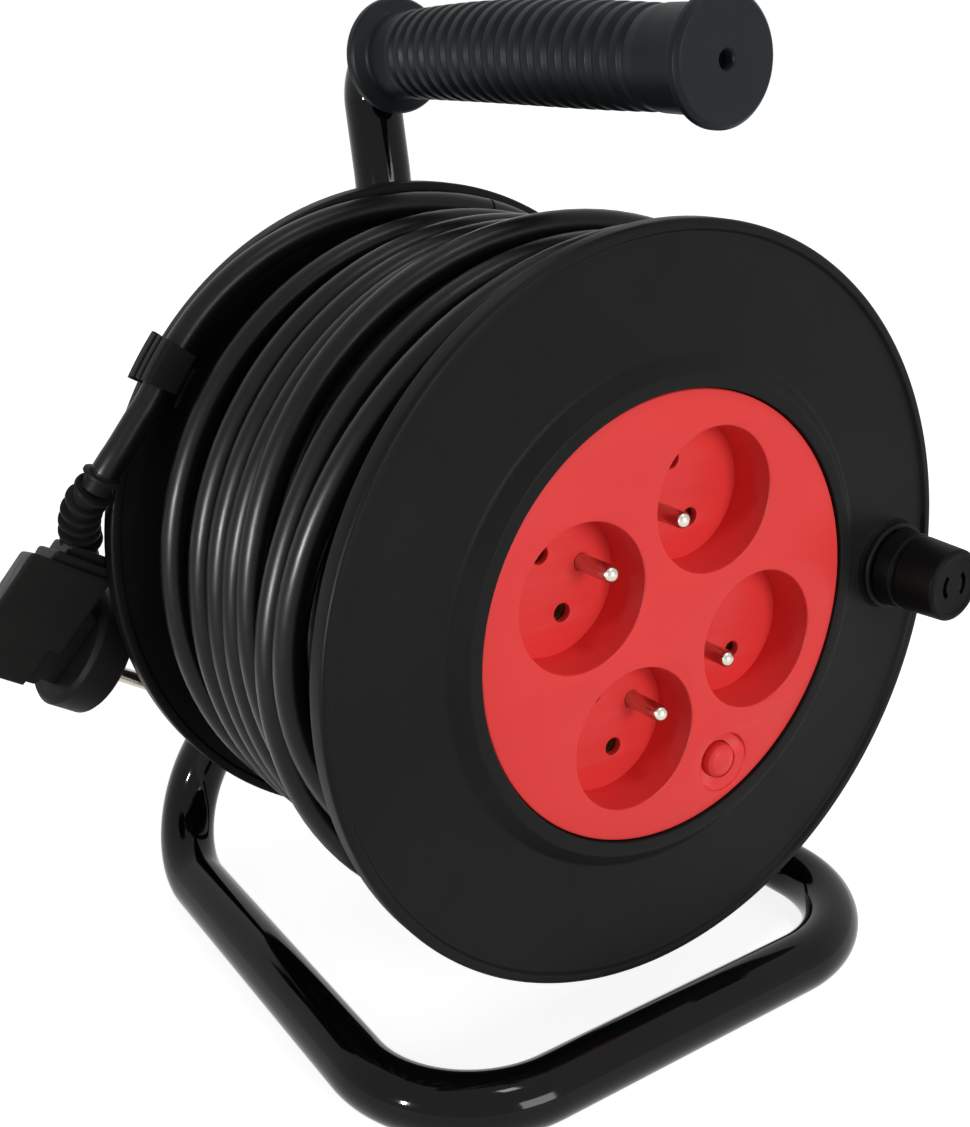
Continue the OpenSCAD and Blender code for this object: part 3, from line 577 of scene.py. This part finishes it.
# Drum: the front half has the panel's seat and the knob's boss, the rear half the hub and the ribs
front = {"beadIn": 103.3, "beadBack": 6.4, "face": 1.5, "webBack": 4.5, "seamEnd": 62.5, "tongue": 64.75,
         "ledge": 59.5, "ledgeFront": 1.3, "ledgeBack": 4.3, "collar": -2.5, "collarTop": 67.2,
         "collarFoot": 71.6, "postFoot": 45, "screwHole": 1.95}
boss = {"bore": 4.0, "foot": 14.6, "radius": 13.35, "face": -2.0, "dish": 11.9, "dishFloor": -1.4}
rear = {"hub": 11, "hubBore": 8, "hubFront": 72, "webFront": 127, "web": 129.4, "raised": 130, "slope": 0.8,
        "rings": [(24, 48.4), (50.6, 72.4), (75, 102)], "groove": 65.05, "seamEnd": 62.5, "beadFront": 126.4,
        "rib": 1.25, "ribIn": 10, "ribOut": 56.5, "ribFront": 97, "screwHole": 2.1}
posts = [onPanel(reel["postAt"] * math.cos(math.pi / 2 * k), reel["postAt"] * math.sin(math.pi / 2 * k))
         for k in range(4)]


def makeFrontShell():
    f, rim, barrel, bore = front, reel["flange"], reel["barrel"], reel["bore"]
    outline = softened([
        (102.6, f["face"], 0.8), (f["beadIn"], 0, 0.35), (rim, 0, 1.3), (rim, f["beadBack"], 1.0),
        (f["beadIn"], f["beadBack"], 0.5), (102.8, f["webBack"], 0.5), (barrel, f["webBack"], 1.2),
        (barrel, f["seamEnd"]), (f["tongue"], f["seamEnd"]), (f["tongue"], reel["split"]),
        (bore, reel["split"]), (bore, f["ledgeBack"]), (f["ledge"], f["ledgeBack"], 0.3),
        (f["ledge"], f["ledgeFront"], 0.3), (bore, f["ledgeFront"]), (bore, f["collar"], 0.45),
        (f["collarTop"], f["collar"], 0.9), (f["collarFoot"], f["face"], 2.6)], 5)
    r, face, dish = boss["radius"], boss["face"], boss["dish"]
    bossOutline = softened([
        (boss["bore"], 2), (boss["foot"], 2), (r + 0.55, 1.2, 0.5), (r, -0.2, 0.6), (r, face, 0.5),
        (dish + 0.2, face, 0.2), (dish, boss["dishFloor"], 0.2), (boss["bore"], boss["dishFloor"])], 4)
    parts = [turnedMesh(outline, steps=224), turnedMesh(bossOutline, reel["knobAt"], 72)]
    hole, foot, wide = f["screwHole"], f["postFoot"], reel["postRadius"]
    post = [(hole, foot), (wide, foot), (wide, reel["split"]), (hole, reel["split"])]
    parts += [turnedMesh(post, place, 32) for place in posts]
    addPiece("frontShell", *joined(*parts), "drumPlastic", "drum", ("drum_front_half",), "drum_plastic", 38)


def makeRearShell():
    q, rim, barrel, bore, back = rear, reel["flange"], reel["barrel"], reel["bore"], reel["width"]
    outline = [(q["hub"], q["webFront"], 1.5), (q["hub"], q["hubFront"], 0.5), (q["hubBore"], q["hubFront"]),
               (q["hubBore"], q["raised"])]
    for start, end in q["rings"]:
        outline += [(start, q["raised"], 0.3), (start + q["slope"], q["web"], 0.3)]
        if end < q["rings"][-1][1]:
            outline += [(end - q["slope"], q["web"], 0.3), (end, q["raised"], 0.3)]
        else:
            outline += [(end - q["slope"], q["web"], 0.8)]
    outline += [(102.6, 132.2, 0.4), (103.2, back, 0.4), (rim, back, 1.2), (rim, q["beadFront"], 1.0),
                (103.3, q["beadFront"], 0.5), (102.8, q["webFront"], 0.4), (barrel, q["webFront"], 1.2),
                (barrel, q["seamEnd"]), (q["groove"], q["seamEnd"]), (q["groove"], reel["split"]),
                (bore, reel["split"]), (bore, q["webFront"])]
    parts = [turnedMesh(softened(outline, 4), steps=224)]
    hole, wide = q["screwHole"], reel["postRadius"]
    post = [(hole, reel["split"]), (wide, reel["split"]), (wide, 128), (hole, 128)]
    seat = softened([(3.8, 129), (8, 129), (6.9, 130.5, 0.5), (4.1, 130.5, 0.3)])
    for k, place in enumerate(posts):
        parts += [turnedMesh(post, place, 32), turnedMesh(seat, place, 40),
                  boxMesh((q["ribIn"], q["ribFront"], -q["rib"]), (q["ribOut"], 128, q["rib"]),
                          turnedBy(reel["panelTurn"] + 90 * k))]
    addPiece("rearShell", *joined(*parts), "drumPlastic", "drum", ("drum_rear_half",), "drum_plastic", 38)


makeFrontShell()
makeRearShell()
print("drum shells made")

# Cord clip: a foot on the rear rim, a grooved arm over the tail, and a tab on the flange below it
clip = {"angle": 145.5, "half": 4.0, "armShy": 0.5, "tabStart": -2, "tabEnd": 5.4, "edge": 0.3}


def sweptArc(outline, start, end, steps):
    points = []
    for s in range(steps + 1):
        a = clip["angle"] + start + (end - start) * s / steps
        points += [tuple(onDrum(a, r, y)) for r, y in outline]
    count = len(outline)
    ends = [tuple(range(count)), tuple(range(steps * count, (steps + 1) * count))]
    return points, loopFaces(steps + 1, count, False) + ends


clipFoot = softened([(105.8, 132), (109.6, 132, 0.6), (109.6, 129.2, 0.5), (107.4, 129.2, 0.3), (107.4, 127),
                     (105.8, 127)])
clipArm = softened([(105.9, 129.4), (107.6, 129.4), (107.6, 128.2, 0.3), (110.9, 127.6, 0.7),
                    (110.9, 125.2, 0.3), (110.1, 125.0, 0.2), (110.1, 123.9, 0.2), (110.9, 123.7, 0.3),
                    (110.9, 121.2, 0.3), (110.1, 121.0, 0.2), (110.1, 120.2, 0.2), (110.9, 120.0, 0.3),
                    (110.9, 115.6, 1.2), (101, 115.6, 0.5), (101, 117.4, 0.4), (109.1, 117.4, 0.8),
                    (109.1, 127, 0.5), (105.9, 127)])
clipTab = softened([(94.6, 127.1), (98.6, 127.1), (97.9, 120.4, 0.6), (96.2, 120.4, 0.6)])
armHalf = clip["half"] - clip["armShy"]
clipParts = [sweptArc(clipFoot, -clip["half"], clip["half"], 16), sweptArc(clipArm, -armHalf, armHalf, 16),
             sweptArc(clipTab, clip["tabStart"], clip["tabEnd"], 12)]
cordClip = addPiece("cordClip", *joined(*clipParts), "drumPlastic", "drum", ("cord_clip",),
                    "drum_plastic", 38)
addBevel(cordClip, clip["edge"], 40)

# Winding: one strand winds over hoops that stand for the layer below it, and a bridging turn lies
# among them. left and right are the turns' places across the drum on its two sides, from the tail
# inwards; early is how much sooner than the others a turn moves across, and low how far the hoops
# sink towards the front flange
wind = {"start": 75.0, "touch": 8.5, "pitch": 9.35, "edgeY": 9.9, "hoops": 12, "level": 87.6, "core": 83.6,
        "coreFront": 4.8, "coreBack": 126.6, "low": 3.6, "lowUntil": 40, "lowOver": 12, "most": 100.2,
        "bridgeY": 45.2, "bridgeSway": 3.0, "drift": 0.4, "wander": 1.1, "early": {6: 0.15}, "lastTurn": 0.12,
        "left": [104, 85, 74.5, 64, 52, 38.5, 29.8, 21, 11.6],
        "right": [115, 96, 80, 69.5, 58, 42.5, 34, 12, 22.5],
        "slices": 120, "sides": 16, "hoopSides": 10}
random.seed(11)


# A slow wave summed from a few random sines
def wobble(scale, terms=5):
    parts = [(random.uniform(0.4, 1.0) / (k + 1), random.randint(1, 2) * (k + 1), random.uniform(0, 6.28))
             for k in range(terms)]
    total = sum(p[0] for p in parts)
    return lambda t: scale * sum(a * math.sin(f * t + p) for a, f, p in parts) / total


# Place across the drum after t turns: every turn keeps to its right place, crosses over, keeps to its
# left place, and crosses to the next
def across(t):
    knots = [(0.0, tail["laneY"]), (0.02, tail["laneY"])]
    for k, (left, right) in enumerate(zip(wind["left"], wind["right"])):
        before, after = wind["early"].get(k - 1, 0), wind["early"].get(k, 0)
        knots += [(k + 0.10 - before if k else 0.16, right), (k + 0.32, right), (k + 0.55, left),
                  (k + 0.79 - after, left)]
    knots += [(len(wind["left"]) + 0.05, wind["edgeY"]), (99, wind["edgeY"])]
    for (t0, y0), (t1, y1) in zip(knots, knots[1:]):
        if t <= t1:
            return y0 + (y1 - y0) * smooth((t - t0) / (t1 - t0))


# Height of a strand's centre when it lies on another whose centre is at (y, r)
def carried(y, under):
    gap = abs(y - under[0])
    return under[1] + math.sqrt(wind["touch"] ** 2 - gap ** 2) if gap < wind["touch"] else 0


# Closed rings of (y, r), one for each hoop, then the bridging turn
def makeHoops():
    around = [2 * math.pi * j / wind["slices"] for j in range(wind["slices"])]
    hoops = []
    for k in range(wind["hoops"]):
        drift = wobble(wind["drift"])
        y = wind["edgeY"] + wind["pitch"] * k
        level = wind["level"] - wind["low"] * smooth((wind["lowUntil"] - y) / wind["lowOver"])
        hoops.append([(y + drift(a), level) for a in around])
    bridge = []
    for j, a in enumerate(around):
        y = wind["bridgeY"] + wind["bridgeSway"] * math.cos(a)
        bridge.append((y, max(carried(y, hoop[j]) for hoop in hoops) - wind["low"]))
    return hoops + [bridge]


def averaged(values, half):
    spans = [values[max(0, k - half):k + half + 1] for k in range(len(values))]
    return [sum(part) / len(part) for part in spans]


# Each slice of the strand rests on whatever lies below it, a turn further on or a hoop
def layStrand(hoops):
    count = wind["slices"]
    turns = len(wind["left"]) + wind["lastTurn"]
    sway = wobble(wind["wander"], 9)
    ys = []
    for k in range(int(turns * count) + 1):
        t = k / count
        hold = smooth(t * 2 - 0.5) * smooth((turns - t) * 2)
        ys.append(max(9.5, min(tail["laneY"], across(t) + sway(t * 2.1) * hold)))
    rs = [0.0] * len(ys)
    for sweep in range(5):
        raw = []
        for k, y in enumerate(ys):
            deeper = [hoop[k % count] for hoop in hoops]
            deeper += [(ys[m], rs[m]) for m in range(k + count, len(ys), count)]
            raw.append(min(wind["most"], max(carried(y, under) for under in deeper)))
        wide = [max(raw[max(0, k - 6):k + 7]) for k in range(len(raw))]
        rs = averaged(averaged(wide, 3), 3)
    for k in range(len(rs)):
        t = k / count
        leave = smooth(t / 0.22)
        sink = smooth((t - turns + 0.3) / 0.26)
        rs[k] = (tail["laneRadius"] * (1 - leave) + rs[k] * leave) * (1 - sink) + wind["level"] * sink
    return ys, rs


def hoopMesh(hoop, sides):
    points = []
    for j, (y, r) in enumerate(hoop):
        a = wind["start"] - 360 * j / wind["slices"]
        points += [tuple(onDrum(a, r + u, y + v)) for u, v in circle(reel["cable"], sides)]
    return points, loopFaces(len(hoop), sides, True)


hoops = makeHoops()
ys, rs = layStrand(hoops)
strandLine = [onDrum(wind["start"] - 360 * k / wind["slices"], r, y) for k, (y, r) in enumerate(zip(ys, rs))]
windParts = [tubeMesh(strandLine, reel["cable"], wind["sides"])]
windParts += [hoopMesh(hoop, wind["hoopSides"]) for hoop in hoops[:-1]]
windParts.append(hoopMesh(hoops[-1], wind["sides"]))
coreIn = reel["barrel"] + 0.2
windParts.append(turnedMesh([(coreIn, wind["coreFront"]), (wind["core"], wind["coreFront"]),
                             (wind["core"], wind["coreBack"]), (coreIn, wind["coreBack"])]))
addPiece("winding", *joined(*windParts), "cableSheath", "drum", ("cable_winding", "cable_core"),
         "cable_sheath", 40)
print("winding made, radii", round(min(rs), 1), round(max(rs), 1))

# Socket panel: a plate with four cups, a scoop round the button and hooks behind the ledge
panel = {"radius": 62.9, "face": -1.5, "thick": 2.7, "edge": 0.45, "at": 23.97, "mouth": 20.3, "wall": 2.0,
         "cupFloor": 12.5, "cupBack": 15.0, "pinPitch": 9.5, "hole": 2.6, "earth": 10.8, "earthHole": 2.42,
         "buttonZ": -52.0, "scoop": 8.8, "well": 5.5, "scoopBack": 3.9, "shallow": -1.05, "deep": 2.6,
         "hooks": (20, 70, 110, 160, 200, 250, 290, 340)}
centres = [(sx, *onPanel(sx * panel["at"], sz * panel["at"])) for sx in (-1, 1) for sz in (-1, 1)]
buttonX, buttonZ = onPanel(0, panel["buttonZ"])


# Cup wall, and its floor with two contact holes and the hole of the earth pin
def cupMeshes(sx, x, z):
    mouth, back = panel["mouth"], panel["cupBack"]
    outer = mouth + panel["wall"]
    wall = [(mouth, -1.0), (outer, 0.2), (outer, back), (mouth - 0.15, back)]
    holes = []
    for px, pz, radius in ((0, -panel["pinPitch"], panel["hole"]), (0, panel["pinPitch"], panel["hole"]),
                           (-sx * panel["earth"], 0, panel["earthHole"])):
        dx, dz = onPanel(px, pz)
        holes.append(ring(x + dx, z + dz, radius, 32))
    return [turnedMesh(wall, (x, z)),
            plateMesh(ring(x, z, mouth + 0.6, 80), holes, panel["cupFloor"], back, 0.3)]


# Scoop round the button: deep above it, running out level with the face below
def scoopMesh(steps=72):
    rim, well, back = panel["scoop"], panel["well"], panel["scoopBack"]
    points = []
    for k in range(steps):
        t = 2 * math.pi * k / steps
        deep = smooth((math.sin(t - 0.35) + 0.75) / 1.3)
        floorY = panel["shallow"] + panel["deep"] * deep
        inner = well - 0.6 * (1 - deep)
        outline = [(well, back), (well, floorY + 0.7), (inner, floorY + 0.35), (inner + 0.1, floorY),
                   (rim - 1.2, floorY), (rim - 0.45, floorY - 0.3 * deep), (rim - 0.1, floorY - 1.2 * deep),
                   (rim, -1.0), (rim + 0.6, -0.7), (rim + 1.6, 0.2), (rim + 1.6, back)]
        for r, y in outline:
            x, z = onPanel(r * math.cos(t), panel["buttonZ"] + r * math.sin(t))
            points.append((x, y, z))
    return points, loopFaces(steps, len(outline), True)


def hookMeshes(angle):
    place = turnedBy(angle + reel["panelTurn"])
    return [boxMesh((56.3, 0.7, -3), (59.1, 6.7, 3), place), boxMesh((58.5, 4.4, -3), (60.7, 6.2, 3), place)]


openings = [ring(x, z, panel["mouth"], 96) for sx, x, z in centres]
openings.append(ring(buttonX, buttonZ, panel["scoop"], 64))
panelParts = [plateMesh(ring(0, 0, panel["radius"], 160), openings, panel["face"],
                        panel["face"] + panel["thick"], panel["edge"])]
for centre in centres:
    panelParts += cupMeshes(*centre)
panelParts.append(scoopMesh())
for angle in panel["hooks"]:
    panelParts += hookMeshes(angle)
addPiece("panelFace", *joined(*panelParts), "panelRed", "drum", ("socket_panel",), "panel_plastic", 34)

button = {"radius": 5.2, "tip": -2.1, "collar": 6.4, "collarY": 4.3, "stem": 2, "end": 10.2}
buttonOutline = softened([
    (0.01, button["tip"]), (1.6, -2.05, 1.5), (3.7, -1.6, 1.5), (4.9, -0.6, 0.8),
    (button["radius"], 0.8, 0.3), (button["radius"], button["collarY"]),
    (button["collar"], button["collarY"]), (button["collar"], button["collarY"] + 0.8),
    (button["stem"], button["collarY"] + 0.8), (button["stem"], button["end"]), (0.01, button["end"])])
addPiece("resetDome", *turnedMesh(buttonOutline, (buttonX, buttonZ), 48), "panelRed", "button",
         ("reset_button",), "panel_plastic", 40)
print("panel made")

# Crank knob: a waisted grip with two arc slots in its end, over the boss
knob = {"bore": 4.04, "start": -2.3, "base": 11.95, "waist": 11.0, "waistY": -9.8, "neck": 11.5,
        "end": 10.9, "tip": -24.0, "dish": 8.5, "slotIn": 3.5, "slotOut": 5.1, "slotHalf": 46,
        "slotFloor": -21.9}


def knobOutline():
    bore, start, base, end = knob["bore"], knob["start"], knob["base"], knob["end"]
    tip, dish = knob["tip"], knob["dish"]
    return softened([
        (bore, start), (base - 0.65, start, 0.2), (base, start - 0.7, 0.6), (11.6, -8.4, 0.5),
        (11.1, -8.9, 0.3), (knob["waist"], knob["waistY"], 0.4), (knob["neck"], knob["waistY"] - 0.8, 0.6),
        (end, tip + 0.6, 0.9), (end - 1, tip, 0.4), (dish + 0.4, tip, 0.3), (dish, tip + 0.4, 0.3),
        (0.01, tip + 0.4), (0.01, start - 0.9), (bore, start - 0.9)], 5)


# Curved bar that cuts one slot; middle is the angle of its centre
def slotBar(middle, steps=12):
    atX, atZ = reel["knobAt"]
    low, high, inside, outside = knob["slotFloor"], knob["tip"] - 2, knob["slotIn"], knob["slotOut"]
    points = []
    for j in range(steps + 1):
        a = math.radians(middle + knob["slotHalf"] * (2 * j / steps - 1))
        for r, y in ((inside, low), (outside, low), (outside, high), (inside, high)):
            points.append((atX + r * math.cos(a), y, atZ + r * math.sin(a)))
    return points, loopFaces(steps + 1, 4, False) + [(0, 1, 2, 3), tuple(range(4 * steps, 4 * steps + 4))]


knobBody = looseMesh("knobBody", *turnedMesh(knobOutline(), reel["knobAt"]))
cutAway(knobBody, [looseMesh("slot", *slotBar(middle)) for middle in (0, 180)])
finishPiece(knobBody, "knobPlastic", "knob", ("crank_knob",), 34)

# Stand: one bent tube, whose two legs are welded to the post of the handle
stand = {"radius": 9.0, "apex": (3, 148, 31), "rear": (78.8, 178, -122.1), "front": (86.6, -9.1, -122.1),
         "rearBend": 30, "frontBend": 38, "sides": 40}
handle = {"postY": 143, "postBottom": -18, "knee": 104, "neckY": 151, "z": 143.4, "end": -9.95,
          "bends": [60, 13]}
weld = {"radius": 1.5, "ripple": 0.28, "drift": 0.15, "lowest": -30, "step": 0.35, "around": 48,
        "seamX": 5.2, "seamY": 134.9, "seamBottom": -17.4, "seamStep": 0.9, "seamSteps": 40,
        "seamRadius": 1.7, "seamRipple": 0.22, "sides": 10}
apex, rearFoot, frontFoot = (Vector(stand[name]) for name in ("apex", "rear", "front"))


def mirrored(p):
    return Vector((-p.x, p.y, p.z))


standCorners = [apex, rearFoot, frontFoot, mirrored(frontFoot), mirrored(rearFoot), mirrored(apex)]
standBends = [stand["rearBend"], stand["frontBend"], stand["frontBend"], stand["rearBend"]]
standPath = bentPath(standCorners, standBends, 28, 10)
addPiece("standTube", *tubeMesh(standPath, stand["radius"], stand["sides"]), "tubePaint", "stand",
         ("stand_tube",), "tube_paint", 50)
handleCorners = [(0, handle["postY"], handle["postBottom"]), (0, handle["postY"], handle["knee"]),
                 (0, handle["neckY"], handle["z"]), (0, handle["end"], handle["z"])]
handlePath = bentPath(handleCorners, handle["bends"], 28, 8)
addPiece("handleTube", *tubeMesh(handlePath, stand["radius"], stand["sides"]), "tubePaint", "stand",
         ("handle_tube",), "tube_paint", 50)


# Line of the weld where a leg runs into the post or the other leg, or else along the leg's own end
def legSeam(side):
    foot, top = (p if side > 0 else mirrored(p) for p in (rearFoot, apex))
    way = (top - foot).normalized()
    reach = (top - foot).length
    u = way.orthogonal().normalized()
    v = way.cross(u)
    seam = []
    for a, b in circle(stand["radius"], weld["around"]):
        base = foot + u * a + v * b
        far, p = 0, base
        while far < reach and p.x * side >= 0.2 and math.hypot(p.x, p.y - handle["postY"]) >= stand["radius"]:
            far += weld["step"]
            p = base + way * far
        seam.append(p)
    seam = [p for p in seam if p.z > weld["lowest"]]
    return smoothLine(seam + seam[:1], 3)


def legBead(side):
    line = legSeam(side)
    radii = [weld["radius"] + weld["ripple"] * math.sin(k * 1.9) + weld["drift"] * math.sin(k * 0.37)
             for k in range(len(line))]
    return tubeMesh(line, radii, weld["sides"])


# Bead between the post and the hub plate
def plateBead(side):
    steps = range(weld["seamSteps"])
    line = [Vector((side * weld["seamX"], weld["seamY"], weld["seamBottom"] + weld["seamStep"] * k))
            for k in steps]
    radii = [weld["seamRadius"] + weld["seamRipple"] * math.sin(k * 1.3) for k in steps]
    return tubeMesh(line, radii, weld["sides"])


beads = [bead(side) for bead in (legBead, plateBead) for side in (-1, 1)]
addPiece("weldBeads", *joined(*beads), "tubePaint", "stand", (), "tube_paint", 60)

# Carry grip: an end disc, a row of ribs that swells towards its middle, and a collar at the back
grip = {"front": -13.95, "back": 134.6, "bore": 9.05, "hole": 2.25, "disc": 16.0, "collar": 17.0,
        "body": 13.9, "ribs": 19, "pitch": 5.85, "ribStart": 10.5, "ribHeight": 1.05, "bulge": 0.9,
        "bow": 1.3, "sides": 96}


def gripOutline():
    near, back, ribStart = grip["front"], grip["back"], grip["ribStart"]
    disc, collar = grip["disc"], grip["collar"]
    out = [(grip["hole"], near + 0.6), (2.9, near, 0.3), (disc - 1.2, near, 0.9), (disc, near + 1.2, 0.7),
           (disc, near + 3.2, 0.6), (disc - 0.8, near + 4.2, 0.6), (13.0, near + 5.3, 1.4),
           (12.9, ribStart - 5, 4), (12.5, ribStart - 1.2, 0.4)]
    for rib in range(grip["ribs"]):
        y = ribStart + rib * grip["pitch"]
        top = grip["body"] - grip["bulge"] * (2 * rib / (grip["ribs"] - 1) - 1) ** 2 - 0.1
        foot = top - grip["ribHeight"]
        out += [(foot, y - 0.35, 0.4), (top, y + 0.8, 0.9), (top, y + 3.5, 0.9), (foot, y + 4.65, 0.4)]
    out += [(12.3, ribStart + grip["ribs"] * grip["pitch"] + 1, 2), (12.6, back - 5.6, 1.6),
            (collar - 0.8, back - 4.3, 0.8), (collar, back - 3.2, 0.8), (collar, back - 0.9, 0.7),
            (collar - 0.8, back, 0.5), (grip["bore"], back, 0.3), (grip["bore"], handle["end"]),
            (grip["hole"], handle["end"])]
    return softened(out, 4)


# The sleeve bows up a little between its ends, outside the tube
def bowed(x, y, z):
    part = max(0.0, min(1.0, (y + 8) / (grip["back"] + 4)))
    outside = smooth((math.hypot(x, z - handle["z"]) - 9.5) / 2)
    return x, y, z + grip["bow"] * math.sin(math.pi * part ** 1.4) * outside


points, faces = turnedMesh(gripOutline(), (0, handle["z"]), grip["sides"])
addPiece("gripBody", [bowed(*p) for p in points], faces, "gripRubber", "stand", ("handle_grip",),
         "grip_rubber", 50)
print("knob, tubes and grip made")

# Pieces that the frame's own solids show, with their finishes and softened edges
kept = {"hub_plate": "tubePaint", "axle": "zincSteel", "thrust_washer": "plainNylon",
        "axle_washer": "zincSteel", "axle_nut": "zincSteel", "drum_screws": "zincSteel",
        "hub_bushes": "plainNylon", "earth_pins": "platedPin", "contact_carrier": "plainNylon",
        "live_bar": "stampedBrass", "neutral_bar": "stampedBrass", "earth_bar": "stampedBrass",
        "thermal_cutout": "blockPlastic", "inlet_grommet": "plugRubber", "inner_lead": "cableSheath",
        "cord_clamp": "plainNylon", "clamp_screws": "zincSteel", "live_wire": "brownCore",
        "neutral_wire": "blueCore", "earth_wire": "greenCore", "knob_pin": "zincSteel",
        "plug_earth_contacts": "platedPin"}
softEdges = {"hub_plate": 0.7, "axle_nut": 0.5, "drum_screws": 0.15, "contact_carrier": 0.3,
             "cord_clamp": 0.3, "thermal_cutout": 0.4, "live_bar": 0.12, "neutral_bar": 0.12,
             "earth_bar": 0.12}
for node, material in kept.items():
    nodes[node].data.materials.clear()
    nodes[node].data.materials.append(paint[material])
    if node in softEdges:
        addBevel(nodes[node], softEdges[node], 30)
print("carried-over pieces painted")

# Floor and sky look white to the camera and in reflections, and give the reel only a little light;
# floor is half its width in metres
stage = {"floor": 6.0, "grey": 0.8, "glow": 0.86, "sky": 0.26}


# 1 for camera, glossy and transmission rays
def seenDirectly(tree):
    path = tree.nodes.new("ShaderNodeLightPath")
    value = path.outputs["Is Camera Ray"]
    for other in ("Is Glossy Ray", "Is Transmission Ray"):
        most = tree.nodes.new("ShaderNodeMath")
        most.operation = "MAXIMUM"
        tree.links.new(value, most.inputs[0])
        tree.links.new(path.outputs[other], most.inputs[1])
        value = most.outputs[0]
    return value


def floorWhite():
    material, tree, shader = newMaterial("floorWhite")
    shader.inputs["Base Color"].default_value = (stage["grey"], stage["grey"], stage["grey"], 1)
    shader.inputs["Roughness"].default_value = 0.9
    shader.inputs["Specular IOR Level"].default_value = 0.1
    glow = tree.nodes.new("ShaderNodeEmission")
    glow.inputs["Color"].default_value = (1, 1, 1, 1)
    lift = tree.nodes.new("ShaderNodeMath")
    lift.operation = "MULTIPLY"
    lift.inputs[1].default_value = stage["glow"]
    blend = tree.nodes.new("ShaderNodeAddShader")
    tree.links.new(seenDirectly(tree), lift.inputs[0])
    tree.links.new(lift.outputs[0], glow.inputs["Strength"])
    tree.links.new(shader.outputs[0], blend.inputs[0])
    tree.links.new(glow.outputs[0], blend.inputs[1])
    tree.links.new(blend.outputs[0], tree.nodes["Material Output"].inputs["Surface"])
    return material


def skyBackground(tree, strength):
    background = tree.nodes.new("ShaderNodeBackground")
    background.inputs["Color"].default_value = (1, 1, 1, 1)
    background.inputs["Strength"].default_value = strength
    return background.outputs[0]


mesh = bpy.data.meshes.new("floor")
h = stage["floor"]
mesh.from_pydata([(-h, -h, 0), (h, -h, 0), (h, h, 0), (-h, h, 0)], [], [(0, 1, 2, 3)])
mesh.materials.append(floorWhite())
floor = bpy.data.objects.new("floor", mesh)
scene.collection.objects.link(floor)

world = bpy.data.worlds.new("sky")
scene.world = world
world.use_nodes = True
tree = world.node_tree
tree.nodes.clear()
out = tree.nodes.new("ShaderNodeOutputWorld")
pick = tree.nodes.new("ShaderNodeMixShader")
tree.links.new(seenDirectly(tree), pick.inputs["Fac"])
tree.links.new(skyBackground(tree, stage["sky"]), pick.inputs[1])
tree.links.new(skyBackground(tree, 1.0), pick.inputs[2])
tree.links.new(pick.outputs[0], out.inputs["Surface"])

# place, aim, width, height and strength of each light; the strip only makes the streaks on glossy pieces
lights = {
    "frontSoft": ((120, -1480, 300), (0, 0, 0), 600, 600, 13.0),
    "leftStrip": ((-640, -90, 60), (-90, 70, 0), 26, 80, 5.5),
    "topSoft": ((40, -420, 1200), (0, 60, 0), 200, 200, 2.6),
}
for name, (place, aim, wide, tall, power) in lights.items():
    data = bpy.data.lights.new(name, "AREA")
    data.shape = "RECTANGLE"
    data.size = wide * 0.001
    data.size_y = tall * 0.001
    data.energy = power
    lamp = bpy.data.objects.new(name, data)
    scene.collection.objects.link(lamp)
    lamp.location = spot(*place)
    lamp.visible_diffuse = name != "leftStrip"
    lamp.rotation_euler = (spot(*aim) - spot(*place)).to_track_quat("-Z", "Y").to_euler()
print("stage and lights set")
